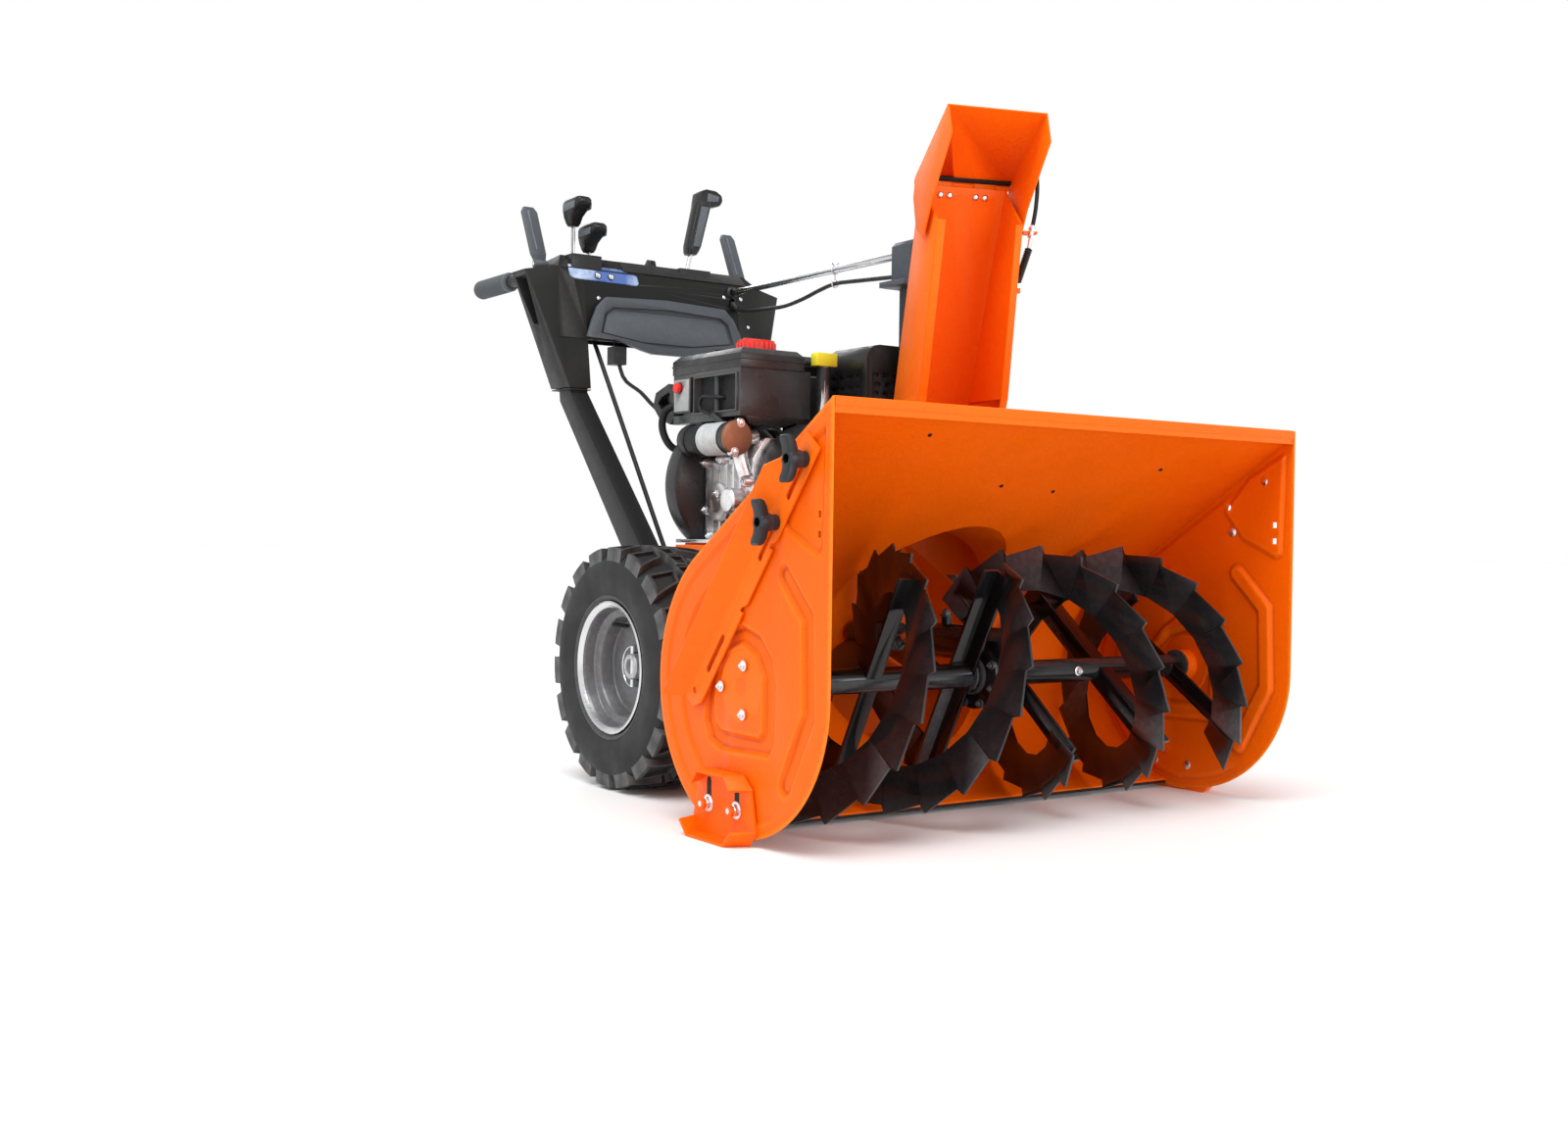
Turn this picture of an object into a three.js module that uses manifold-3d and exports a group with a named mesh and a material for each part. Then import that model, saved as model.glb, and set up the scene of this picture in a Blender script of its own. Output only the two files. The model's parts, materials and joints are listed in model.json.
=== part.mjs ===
// A walk-behind two-stage snowblower, built from separate solids as the real machine is.
//
// Millimetres, +Z up. While the pieces are made, x runs across the machine, y runs back from the
// front edge of the auger housing and z is the height above the ground. At the end the whole group
// moves so that its origin is the middle of the footprint. The chute throws forwards, along -Y.

import * as THREE from "three";
import { mergeVertices } from "three/addons/utils/BufferGeometryUtils.js";
import { ConvexGeometry } from "three/addons/geometries/ConvexGeometry.js";
import Module from "manifold-3d";

const wasm = await Module();
wasm.setup();

// ---------------------------------------------------------------- driving dimensions

const overallLength = 1560; // front edge of the housing to the end of the grips
const clearingWidth = 914; // between the side panels: 36 inches
const housingHeight = 604;
const sheet = 3; // sheet steel of the housing, drum and frame
const gap = 0.3; // left between pieces that touch

const auger = { y: 210, z: 216, radius: 201, lead: 360 };
const augerShaftRadius = 12.7;
const rakeEnds = [36, 425]; // from the centre plane, both sides
const ribbonTop = { left: 13, right: 90 }; // where a rake's first ribbon passes over the shaft
const impeller = { z: 262, radius: 178, front: 430, back: 542 };
const drum = { radius: 183, back: 560 };
const worm = { starts: 2, wheelTeeth: 20, wheelRadius: 33.5, radius: 12.5 };

const chute = { x: 88, y: 453, turn: -18.5, ringRadius: 84, ringTop: 492, hingeY: -108, hingeZ: 1002 };
const ringGear = { teeth: 46, pinionTeeth: 10, module: 4.175 };
const gearPost = { x: 132, y: 561.3, size: 40, top: 875 };

const wheel = { x: 322.5, y: 699, z: 204, radius: 204, width: 165, rimRadius: 104 };
const axleRadius = 12.7;

const frame = { half: 185, front: 563, mid: 652, back: 846, bottom: 105, top: 408 };
const crank = { x: -35, z: 525 };
const pulleyY = [592, 616];
const impellerPulleyRadius = 90;
const enginePulleyRadius = 38;

const leg = { inner: 187, outer: 227, depth: 58, footY: 800, footZ: 300, bendY: 1188, bendZ: 705 };
const consoleTop = { front: 1223, back: 1340, z: 955, half: 300 };
const grip = { x: 250, z: 945, radius: 20, start: 1412 };

// ---------------------------------------------------------------- materials

const material = (color, roughness, metalness) =>
  new THREE.MeshStandardMaterial({ color, roughness, metalness });
const orangePaint = material(0xf4600c, 0.45, 0.1);
const blackPaint = material(0x16181a, 0.35, 0.2);
const blackPlastic = material(0x1d1f21, 0.55, 0);
const greyPlastic = material(0x55595c, 0.6, 0);
const darkFrame = material(0x2b2c2c, 0.5, 0.1);
const castAluminium = material(0xb9bcbe, 0.45, 0.8);
const brightSteel = material(0xc9ccce, 0.3, 0.9);
const rimSteel = material(0x7d8082, 0.45, 0.6);
const tyreRubber = material(0x232425, 0.85, 0);
const rubber = material(0x151515, 0.8, 0);
const redPlastic = material(0xd8261f, 0.4, 0);
const yellowPlastic = material(0xe9e20a, 0.5, 0);
const clearLens = material(0xa9c3e6, 0.1, 0);

// ---------------------------------------------------------------- making solids

// A closed three.js geometry as a solid that can be joined and cut, with its faces outwards.
function solid(geometry) {
  const bare = geometry.index ? geometry.toNonIndexed() : geometry.clone();
  for (const name of Object.keys(bare.attributes)) {
    if (name !== "position") bare.deleteAttribute(name);
  }
  const merged = mergeVertices(bare, 1e-3);
  const corners = Array.from(merged.index.array);
  const made = closedMesh(merged, corners);
  return made.volume() < 0 ? closedMesh(merged, corners.reverse()) : made;
}

function closedMesh(geometry, corners) {
  return new wasm.Manifold(
    new wasm.Mesh({
      numProp: 3,
      vertProperties: new Float32Array(geometry.attributes.position.array),
      triVerts: new Uint32Array(corners),
    }),
  );
}

// The joined or cut solid as a geometry again, with flat-shaded faces.
function geometryOf(body) {
  const mesh = body.getMesh();
  const positions = new Float32Array(mesh.numVert * 3);
  for (let i = 0; i < mesh.numVert; i++) {
    positions.set(mesh.vertProperties.subarray(i * mesh.numProp, i * mesh.numProp + 3), i * 3);
  }
  const geometry = new THREE.BufferGeometry();
  geometry.setAttribute("position", new THREE.BufferAttribute(positions, 3));
  geometry.setIndex(new THREE.BufferAttribute(new Uint32Array(mesh.triVerts), 1));
  geometry.computeVertexNormals();
  return geometry;
}

const join = (...bodies) => bodies.reduce((whole, next) => whole.add(next));
const cut = (body, ...tools) => tools.reduce((left, tool) => left.subtract(tool), body);

function piece(parent, name, body, look, position = [0, 0, 0], rotation = [0, 0, 0]) {
  const mesh = new THREE.Mesh(geometryOf(body), look);
  mesh.name = name;
  mesh.position.set(...position);
  mesh.rotation.set(...rotation);
  parent.add(mesh);
  return mesh;
}

// A box between two corners.
function block([x0, y0, z0], [x1, y1, z1]) {
  const box = new THREE.BoxGeometry(x1 - x0, y1 - y0, z1 - z0);
  return solid(box.translate((x0 + x1) / 2, (y0 + y1) / 2, (z0 + z1) / 2));
}

const alongX = new THREE.Matrix4().set(0, 0, 1, 0, 1, 0, 0, 0, 0, 1, 0, 0, 0, 0, 0, 1);
const alongY = new THREE.Matrix4().set(1, 0, 0, 0, 0, 0, -1, 0, 0, 1, 0, 0, 0, 0, 0, 1);

// An outline of [y, z] points, holes included, pushed along x.
function pushX(outline, x0, x1, holes = []) {
  return pushShape(outline, holes, x1 - x0, alongX, [x0, 0, 0]);
}

// An outline of [x, z] points pushed along y.
function pushY(outline, y0, y1, holes = []) {
  return pushShape(outline, holes, y1 - y0, alongY, [0, y1, 0]);
}

// An outline of [x, y] points pushed along z.
function pushZ(outline, z0, z1, holes = []) {
  return pushShape(outline, holes, z1 - z0, new THREE.Matrix4(), [0, 0, z0]);
}

function pushShape(outline, holes, depth, matrix, offset) {
  const toPoints = (list) => list.map(([u, v]) => new THREE.Vector2(u, v));
  const shape = new THREE.Shape(toPoints(outline));
  shape.holes = holes.map((hole) => new THREE.Path(toPoints(hole)));
  const pushed = new THREE.ExtrudeGeometry(shape, { depth, bevelEnabled: false });
  return solid(pushed.applyMatrix4(matrix).translate(...offset));
}

// Points along a circular arc, in degrees.
function arc([u, v], radius, from, to, steps) {
  return Array.from({ length: steps + 1 }, (_, i) => {
    const angle = THREE.MathUtils.degToRad(from + ((to - from) * i) / steps);
    return [u + radius * Math.cos(angle), v + radius * Math.sin(angle)];
  });
}

const circle = (centre, radius, steps = 24) => arc(centre, radius, 0, 360, steps).slice(0, -1);

const discX = ([y, z], radius, x0, x1, steps) => pushX(circle([y, z], radius, steps), x0, x1);
const discY = ([x, z], radius, y0, y1, steps) => pushY(circle([x, z], radius, steps), y0, y1);
const discZ = ([x, y], radius, z0, z1, steps) => pushZ(circle([x, y], radius, steps), z0, z1);

// The convex solid round some points.
const wrap = (points) => solid(new ConvexGeometry(points.map((p) => new THREE.Vector3(...p))));

// The four corners of a rectangle at height z.
const level = ([x0, y0], [x1, y1], z) => [
  [x0, y0, z],
  [x1, y0, z],
  [x0, y1, z],
  [x1, y1, z],
];

// A point and its mirror image across the machine's centre plane.
const pair = (x, y, z) => [
  [-x, y, z],
  [x, y, z],
];

// A box whose top edges are bevelled by that much.
function cushion([x0, y0, z0], [x1, y1, z1], bevel) {
  const ring = (inset, z) => level([x0 + inset, y0 + inset], [x1 - inset, y1 - inset], z);
  return wrap([...ring(0, z0), ...ring(0, z1 - bevel), ...ring(bevel, z1)]);
}

// A flat plate with these corners, as thick as said, to both sides of their plane.
function plate(corners, thickness) {
  const [a, b, c] = corners.map((p) => new THREE.Vector3(...p));
  const normal = b.clone().sub(a).cross(c.clone().sub(a)).normalize().multiplyScalar(thickness / 2);
  const sides = corners.flatMap(([x, y, z]) => [
    [x + normal.x, y + normal.y, z + normal.z],
    [x - normal.x, y - normal.y, z - normal.z],
  ]);
  return wrap(sides);
}

// A round bar between two points.
function bar(from, to, radius, steps = 12) {
  const start = new THREE.Vector3(...from);
  const along = new THREE.Vector3(...to).sub(start);
  const cylinder = new THREE.CylinderGeometry(radius, radius, along.length(), steps);
  const turn = new THREE.Quaternion().setFromUnitVectors(
    new THREE.Vector3(0, 1, 0),
    along.clone().normalize(),
  );
  cylinder.applyQuaternion(turn);
  return solid(cylinder.translate(...start.addScaledVector(along, 0.5).toArray()));
}

// A tube that follows a smooth curve through the points.
function cable(points, radius, steps, sides = 8) {
  const path = new THREE.CatmullRomCurve3(points.map((p) => new THREE.Vector3(...p)));
  const section = new THREE.Shape(
    circle([0, 0], radius, sides).map(([u, v]) => new THREE.Vector2(u, v)),
  );
  return solid(new THREE.ExtrudeGeometry(section, { steps, extrudePath: path }));
}

// A ring of quadrilateral sections joined one after another, closed at both ends.
function strip(sections) {
  const positions = sections.flat(2);
  const index = [];
  const last = (sections.length - 1) * 4;
  for (let i = 0; i < last; i += 4) {
    for (let k = 0; k < 4; k++) {
      const next = (k + 1) % 4;
      index.push(i + k, i + next, i + 4 + next, i + k, i + 4 + next, i + 4 + k);
    }
  }
  index.push(0, 2, 1, 0, 3, 2, last, last + 1, last + 2, last, last + 2, last + 3);
  const geometry = new THREE.BufferGeometry();
  geometry.setAttribute("position", new THREE.Float32BufferAttribute(positions, 3));
  geometry.setIndex(index);
  return solid(geometry);
}

// A solid of revolution about x from [x, radius] points that start and end on the axis or close up.
function turnedX(profile, steps = 32) {
  const lathe = new THREE.LatheGeometry(
    profile.map(([x, r]) => new THREE.Vector2(r, x)),
    steps,
  );
  return solid(lathe.rotateZ(-Math.PI / 2));
}

// A solid of revolution about y, from [y, radius] points.
function turnedY(profile, steps = 32) {
  const lathe = new THREE.LatheGeometry(
    profile.map(([y, r]) => new THREE.Vector2(r, y)),
    steps,
  );
  return solid(lathe);
}

const mirrored = (points) => points.map(([x, ...rest]) => [-x, ...rest]).reverse();

// A gear outline about the origin; fill is the share of each pitch that the tooth takes.
function gearOutline(teeth, pitchRadius, depth, fill, phase = 0) {
  const outline = [];
  const pitch = (2 * Math.PI) / teeth;
  for (let i = 0; i < teeth; i++) {
    const centre = phase + i * pitch;
    const corners = [
      [-0.5 * fill - 0.08, pitchRadius - depth * 0.6],
      [-0.5 * fill + 0.08, pitchRadius + depth * 0.4],
      [0.5 * fill - 0.08, pitchRadius + depth * 0.4],
      [0.5 * fill + 0.08, pitchRadius - depth * 0.6],
    ];
    for (const [share, radius] of corners) {
      const angle = centre + share * pitch;
      outline.push([radius * Math.cos(angle), radius * Math.sin(angle)]);
    }
  }
  return outline;
}

const machine = new THREE.Group();

// ---------------------------------------------------------------- auger housing

const panelHalf = clearingWidth / 2;
const panelOuter = panelHalf + sheet;
const panelRadius = 214;
const shellOuter = 209;
const augerCentre = [auger.y, auger.z];

// Where the straight top of the housing leaves the round back, in degrees about the auger shaft.
const topTangent = (() => {
  const back = -auger.y;
  const up = housingHeight - auger.z;
  const reach = Math.hypot(back, up);
  const angle = Math.atan2(up, back) - Math.acos(panelRadius / reach);
  return THREE.MathUtils.radToDeg(angle);
})();

// Height of the housing's straight top at y, for a surface that far from the auger shaft.
function topLine(y, radius) {
  const angle = THREE.MathUtils.degToRad(topTangent);
  return auger.z + (radius - (y - auger.y) * Math.cos(angle)) / Math.sin(angle);
}

const shellBottomAngle = -78;
function shellPath(radius, frontY) {
  return [
    [frontY, topLine(frontY, radius)],
    ...arc(augerCentre, radius, topTangent, shellBottomAngle, 22),
  ];
}

function buildHousing() {
  const lipDepth = 13;
  const shellBand = [
    ...shellPath(shellOuter - sheet, 3),
    ...shellPath(shellOuter, 3).reverse(),
  ];
  const insideWidth = panelHalf - gap;
  const shellTop = topLine(3, shellOuter);
  const frontLip = block([-insideWidth, 1, shellTop - lipDepth], [insideWidth, 4, shellTop]);
  const topRoll = block([-insideWidth, 1, shellTop - sheet], [insideWidth, 16, shellTop + 2]);
  const drumHole = discY([0, impeller.z], drum.radius, 190, 430, 40);
  const shell = cut(
    join(pushX(shellBand, -insideWidth, insideWidth), frontLip, topRoll),
    drumHole,
  );
  piece(machine, "housing_shell", shell, orangePaint);

  const panelOutline = [
    [0, housingHeight],
    ...arc(augerCentre, auger.y, 180, 270, 14),
    ...arc(augerCentre, panelRadius, 271, 360 + topTangent, 24),
  ];
  const bearingFlangeRadius = 52;
  for (const side of [-1, 1]) {
    const inner = side < 0 ? -panelOuter : panelHalf;
    const bossFrom = side < 0 ? -panelHalf : panelHalf - 24;
    const flangeFrom = side < 0 ? -panelHalf : panelHalf - 7;
    // Blind, so that the shaft's end is hidden from outside.
    const boreSpan = side < 0 ? [bossFrom + 5, bossFrom + 25] : [bossFrom - 1, bossFrom + 19];
    const panel = cut(
      join(
        pushX(panelOutline, inner, inner + sheet),
        discX(augerCentre, bearingFlangeRadius, flangeFrom, flangeFrom + 7, 24),
        discX(augerCentre, 24, bossFrom, bossFrom + 24, 20),
      ),
      discX(augerCentre, augerShaftRadius + gap, ...boreSpan, 24),
      ...cutterBolts.map(([y, z]) => discX([y, z], 5, inner - 1, inner + sheet + 1, 12)),
    );
    piece(machine, side < 0 ? "side_panel_left" : "side_panel_right", panel, orangePaint);
  }

  const bladeBand = [
    ...arc(augerCentre, shellOuter + gap, shellBottomAngle, -58, 6),
    ...arc(augerCentre, shellOuter + 5, shellBottomAngle, -58, 6).reverse(),
  ];
  piece(machine, "scraper_blade", pushX(bladeBand, -insideWidth, insideWidth), darkFrame);
}

// Skid shoe: a plate on the side panel with a flange that turns outwards at the top and the bottom.
function buildSkidShoes() {
  const from = 158;
  const to = 318;
  const height = 96;
  const cap = height - 2;
  const shoulder = height - 20;
  const soleReach = 36;
  const capReach = 28;
  // Each flange runs between two points of the plate's edge and draws in by these amounts outside.
  const flanges = [
    [[from + 18, 2], [to - 18, 2], soleReach, 16, -16],
    [[from + 18, 2], [from, 22], soleReach, 16, 14],
    [[to - 18, 2], [to, 22], soleReach, -16, -14],
    [[from + 34, cap], [to - 34, cap], capReach, 12, -12],
    [[from + 34, cap], [from + 12, shoulder], capReach, 12, 18],
    [[to - 34, cap], [to - 12, shoulder], capReach, -12, -18],
  ];
  const webOutline = [
    [from, 22],
    [from + 18, 0.2],
    [to - 18, 0.2],
    [to, 22],
    [to - 12, shoulder],
    [to - 34, height],
    [from + 34, height],
    [from + 12, shoulder],
  ];
  for (const side of [-1, 1]) {
    const x = (reach) => side * (panelOuter + gap + reach);
    const span = (near, far) => [Math.min(x(near), x(far)), Math.max(x(near), x(far))];
    const flangePlates = flanges.map(([[y0, z0], [y1, z1], reach, draw0, draw1]) =>
      plate(
        [
          [x(0), y0, z0],
          [x(0), y1, z1],
          [x(reach), y1 + draw1, z1],
          [x(reach), y0 + draw0, z0],
        ],
        4,
      ),
    );
    const web = pushX(webOutline, ...span(0, 4));
    const bolts = [204, 276].map((y) => discX([y, 46], 8, ...span(2, 18), 12));
    const [insideFrom, insideTo] = span(-600, 0);
    const inside = block([insideFrom, 0, -10], [insideTo, 600, 200]);
    const shoe = cut(join(web, ...flangePlates, ...bolts), inside);
    piece(machine, side < 0 ? "skid_shoe_left" : "skid_shoe_right", shoe, orangePaint);
  }
}

// Drum behind the housing, with its back plate and the round outlet that carries the chute.
function buildDrum() {
  const centre = [0, impeller.z];
  const outlet = [chute.x, chute.y];
  const outletInner = chute.ringRadius - sheet;
  const wall = discY(centre, drum.radius + sheet, 200, drum.back, 40);
  const outletWall = discZ(outlet, chute.ringRadius, impeller.z + 100, chute.ringTop, 32);
  const bore = discY(centre, drum.radius, 150, drum.back - sheet, 40);
  const outletBore = discZ(outlet, outletInner, impeller.z, chute.ringTop + 1, 32);
  const inFront = pushX([...shellPath(shellOuter + gap, -50), [-50, -50]], -400, 400);
  const shaftHole = discY(centre, 11, drum.back - 10, drum.back + 20, 16);
  const backHole = discY(centre, 50, drum.back - sheet, drum.back + 8, 24);
  const body = cut(join(wall, outletWall), bore, outletBore, inFront);
  piece(machine, "impeller_drum", cut(join(body, backHole), shaftHole), orangePaint);
}

// ---------------------------------------------------------------- auger

const augerGroup = new THREE.Group();
augerGroup.position.set(0, auger.y, auger.z);
machine.add(augerGroup);

// How far round the shaft, from the top towards the front, a ribbon has turned at x.
const ribbonAngle = (x, topX) => ((x - topX) / auger.lead) * 2 * Math.PI;

// One toothed ribbon of a rake, made for the right-hand side. Each tooth rises slowly and drops at once.
function ribbon(topX) {
  const innerRadius = 130;
  const rootRadius = 188;
  const thickness = 4;
  const tooth = auger.lead / 18;
  const drop = 1.5;
  const sections = [];
  const addSection = (x, outerRadius) => {
    const turn = ribbonAngle(x, topX);
    const y = -Math.sin(turn);
    const z = Math.cos(turn);
    sections.push([
      [x - thickness / 2, y * innerRadius, z * innerRadius],
      [x + thickness / 2, y * innerRadius, z * innerRadius],
      [x + thickness / 2, y * outerRadius, z * outerRadius],
      [x - thickness / 2, y * outerRadius, z * outerRadius],
    ]);
  };
  const [start, end] = rakeEnds;
  for (let x = start; x + tooth <= end + 1; x += tooth) {
    addSection(x, rootRadius);
    addSection(x + tooth - drop, auger.radius);
  }
  return strip(sections);
}

// A spoke is an angle section across the shaft, with one leg against the ribbons.
function spoke(x, topX) {
  const length = 352;
  const legWidth = 30;
  const thickness = 5;
  const ribbonBehind = 6;
  const flat = block(
    [-thickness / 2, -legWidth / 2, -length / 2],
    [thickness / 2, legWidth / 2, length / 2],
  );
  const fold = block(
    [-thickness / 2, legWidth / 2 - thickness, -length / 2],
    [legWidth - 4, legWidth / 2, length / 2],
  );
  const turn = THREE.MathUtils.radToDeg(ribbonAngle(x - ribbonBehind, topX));
  return join(flat, fold).rotate([turn, 0, 0]).translate([x, 0, 0]);
}

function rake(side, topX) {
  const sleeveStart = rakeEnds[0] + 2.5;
  const sleeve = discX([0, 0], 19, sleeveStart, rakeEnds[1], 20);
  const spokes = [46, 226, 400].map((x) => spoke(x, topX));
  const ribbons = [topX, topX + auger.lead / 2].map((top) => ribbon(top));
  const shaftSpace = discX([0, 0], augerShaftRadius + gap, 30, 440, 20);
  const made = cut(join(sleeve, ...spokes, ...ribbons), shaftSpace);
  return side > 0 ? made : made.mirror([1, 0, 0]);
}

function buildAuger() {
  const shaft = discX([0, 0], augerShaftRadius, -panelHalf + 6, panelHalf - 6, 24);
  const wheelHalf = 8;
  const twist = Math.tan(Math.atan((worm.starts * wormPitch) / (2 * Math.PI * worm.radius)));
  const sectionAt = (x) => {
    const turn = (-x * twist) / worm.wheelRadius;
    return gearOutline(worm.wheelTeeth, worm.wheelRadius, 7, 0.32, turn + wheelPhase);
  };
  const wheelBody = twistedX(sectionAt, [-wheelHalf, 0, wheelHalf]);
  piece(augerGroup, "auger_shaft", join(shaft, wheelBody), brightSteel);
  piece(augerGroup, "auger_rake_left", rake(-1, ribbonTop.left), blackPaint);
  piece(augerGroup, "auger_rake_right", rake(1, ribbonTop.right), blackPaint);
}

// A solid through outlines of [y, z] points that turn as x goes on.
function twistedX(outlineAt, stations) {
  const rings = stations.map((x) => outlineAt(x).map(([y, z]) => [x, y, z]));
  const count = rings[0].length;
  const index = [];
  for (let ring = 0; ring + 1 < rings.length; ring++) {
    for (let k = 0; k < count; k++) {
      const a = ring * count + k;
      const b = ring * count + ((k + 1) % count);
      index.push(a, b, b + count, a, b + count, a + count);
    }
  }
  const faces = THREE.ShapeUtils.triangulateShape(
    outlineAt(stations[0]).map(([y, z]) => new THREE.Vector2(y, z)),
    [],
  );
  const end = (rings.length - 1) * count;
  for (const [a, b, c] of faces) {
    index.push(a, c, b, end + a, end + b, end + c);
  }
  const geometry = new THREE.BufferGeometry();
  geometry.setAttribute("position", new THREE.Float32BufferAttribute(rings.flat(2), 3));
  geometry.setIndex(index);
  return solid(geometry);
}

// ---------------------------------------------------------------- worm, gear case and impeller

const wormPitch = (2 * Math.PI * worm.wheelRadius) / worm.wheelTeeth;
const wheelPhase = Math.PI / 2 + Math.PI / worm.wheelTeeth;
const wormHeight = impeller.z - auger.z;
const shaftRadius = 9.5;

// The thread at its nearest to the wheel is midway between two of the wheel's teeth.
function wormThread(start) {
  const outer = 15.6;
  const core = shaftRadius - 0.8;
  const lead = wormPitch * worm.starts;
  const half = 0.17 * wormPitch;
  const stepsPerTurn = 14;
  const turns = 1.9;
  const sections = [];
  for (let i = 0; i <= turns * stepsPerTurn; i++) {
    const share = i / stepsPerTurn - turns / 2;
    const angle = share * 2 * Math.PI + start * Math.PI;
    const y = auger.y + lead * share;
    const along = [Math.sin(angle), -Math.cos(angle)];
    const corner = (radius, dy) => [along[0] * radius, y + dy, along[1] * radius];
    sections.push([
      corner(core, -half * 1.3),
      corner(core, half * 1.3),
      corner(outer, half * 0.8),
      corner(outer, -half * 0.8),
    ]);
  }
  return strip(sections);
}

function buildImpeller() {
  const group = new THREE.Group();
  group.position.set(0, 0, impeller.z);
  machine.add(group);

  const hub = discY([0, 0], 24, impeller.front, impeller.back, 20);
  const blades = [0, 120, 240].map((angle) => {
    const turn = THREE.MathUtils.degToRad(angle);
    const blade = new THREE.BoxGeometry(5, impeller.back - impeller.front, impeller.radius - 12);
    blade.translate(0, (impeller.front + impeller.back) / 2, (impeller.radius - 12) / 2 + 10);
    const tip = new THREE.BoxGeometry(30, impeller.back - impeller.front, 5);
    tip.rotateY(0.7).translate(-10, (impeller.front + impeller.back) / 2, impeller.radius - 15);
    return join(solid(blade.rotateY(turn)), solid(tip.rotateY(turn)));
  });
  const hubBore = discY([0, 0], shaftRadius + gap, 400, 580, 20);
  piece(group, "impeller", cut(join(hub, ...blades), hubBore), blackPaint);

  const shaft = discY([0, 0], shaftRadius, 168, 628, 20);
  const pulley = pulleyAt(impellerPulleyRadius);
  const threads = [0, 1].map(wormThread);
  piece(group, "impeller_shaft", join(shaft, pulley, ...threads), brightSteel);
}

// A V-belt pulley that fills pulleyY, about the y axis.
function pulleyAt(radius) {
  const [front, back] = pulleyY;
  const middle = (front + back) / 2;
  return turnedY(
    [
      [front, 0],
      [front, radius],
      [middle - 7, radius],
      [middle - 6, radius - 12],
      [middle + 6, radius - 12],
      [middle + 7, radius],
      [back, radius],
      [back, 0],
    ],
    28,
  );
}

function buildGearCase() {
  const half = 30;
  const wheelHouse = discX([0, 0], 52, -half, half, 28);
  const wormHouse = discY([0, wormHeight], 27, -62, 150, 20);
  const shoulder = wrap([
    ...circle([0, 0], 50, 16).flatMap(([y, z]) => pair(22, y, z)),
    ...level([-22, -45], [22, 62], wormHeight + 14),
  ]);
  const hubs = discX([0, 0], 26, -half - 6, half + 6, 20);
  const filler = discZ([0, 100], 9, wormHeight + 20, wormHeight + 40, 6);
  const wheelRoom = discX([0, 0], 42, -13, 13, 28);
  const wormRoom = discY([0, wormHeight], 19, -46, 62, 20);
  const shaftRoom = discX([0, 0], augerShaftRadius + gap, -60, 60, 24);
  const impellerRoom = discY([0, wormHeight], shaftRadius + gap, -50, 160, 20);
  const body = cut(
    join(wheelHouse, wormHouse, shoulder, hubs, filler),
    wheelRoom,
    wormRoom,
    shaftRoom,
    impellerRoom,
  );
  piece(machine, "gear_case", body, blackPaint, [0, auger.y, auger.z]);
}

// ---------------------------------------------------------------- belt drive and engine

function beltPath(offset) {
  const lower = impellerPulleyRadius - 11 + offset;
  const upper = enginePulleyRadius - 11 + offset;
  const rise = crank.z - impeller.z;
  const across = crank.x;
  const spread = Math.asin((lower - upper) / Math.hypot(rise, across));
  const lean = THREE.MathUtils.radToDeg(Math.atan2(rise, across));
  const tip = 90 - THREE.MathUtils.radToDeg(spread);
  return [
    ...arc([crank.x, crank.z], upper, lean - tip, lean + tip, 10),
    ...arc([0, impeller.z], lower, lean + tip, lean - tip + 360, 20),
  ];
}

function buildBeltDrive() {
  const middle = (pulleyY[0] + pulleyY[1]) / 2;
  const belt = pushY(beltPath(8), middle - 5, middle + 5, [beltPath(0)]);
  piece(machine, "drive_belt", belt, rubber);

  const outline = (grow) => [
    ...arc([crank.x, crank.z], 98 + grow, 10, 170, 12),
    ...arc([0, impeller.z + 6], 118 + grow, 190, 350, 14),
  ];
  const cover = cut(
    pushY(outline(0), drum.back + 14, frame.mid - gap),
    pushY(outline(-sheet), drum.back, frame.mid - sheet - gap),
    discY([crank.x, crank.z], 20, frame.mid - 20, frame.mid + 20, 20),
  );
  piece(machine, "belt_cover", cover, blackPlastic);
}

function buildCrankshaft() {
  const shaft = discY([0, 0], 12.7, 584, 905, 20);
  const flywheel = discY([0, 0], 104, 862, 888, 32);
  const body = join(shaft, flywheel, pulleyAt(enginePulleyRadius));
  piece(machine, "crankshaft", body, brightSteel, [crank.x, 0, crank.z]);
}

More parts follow.
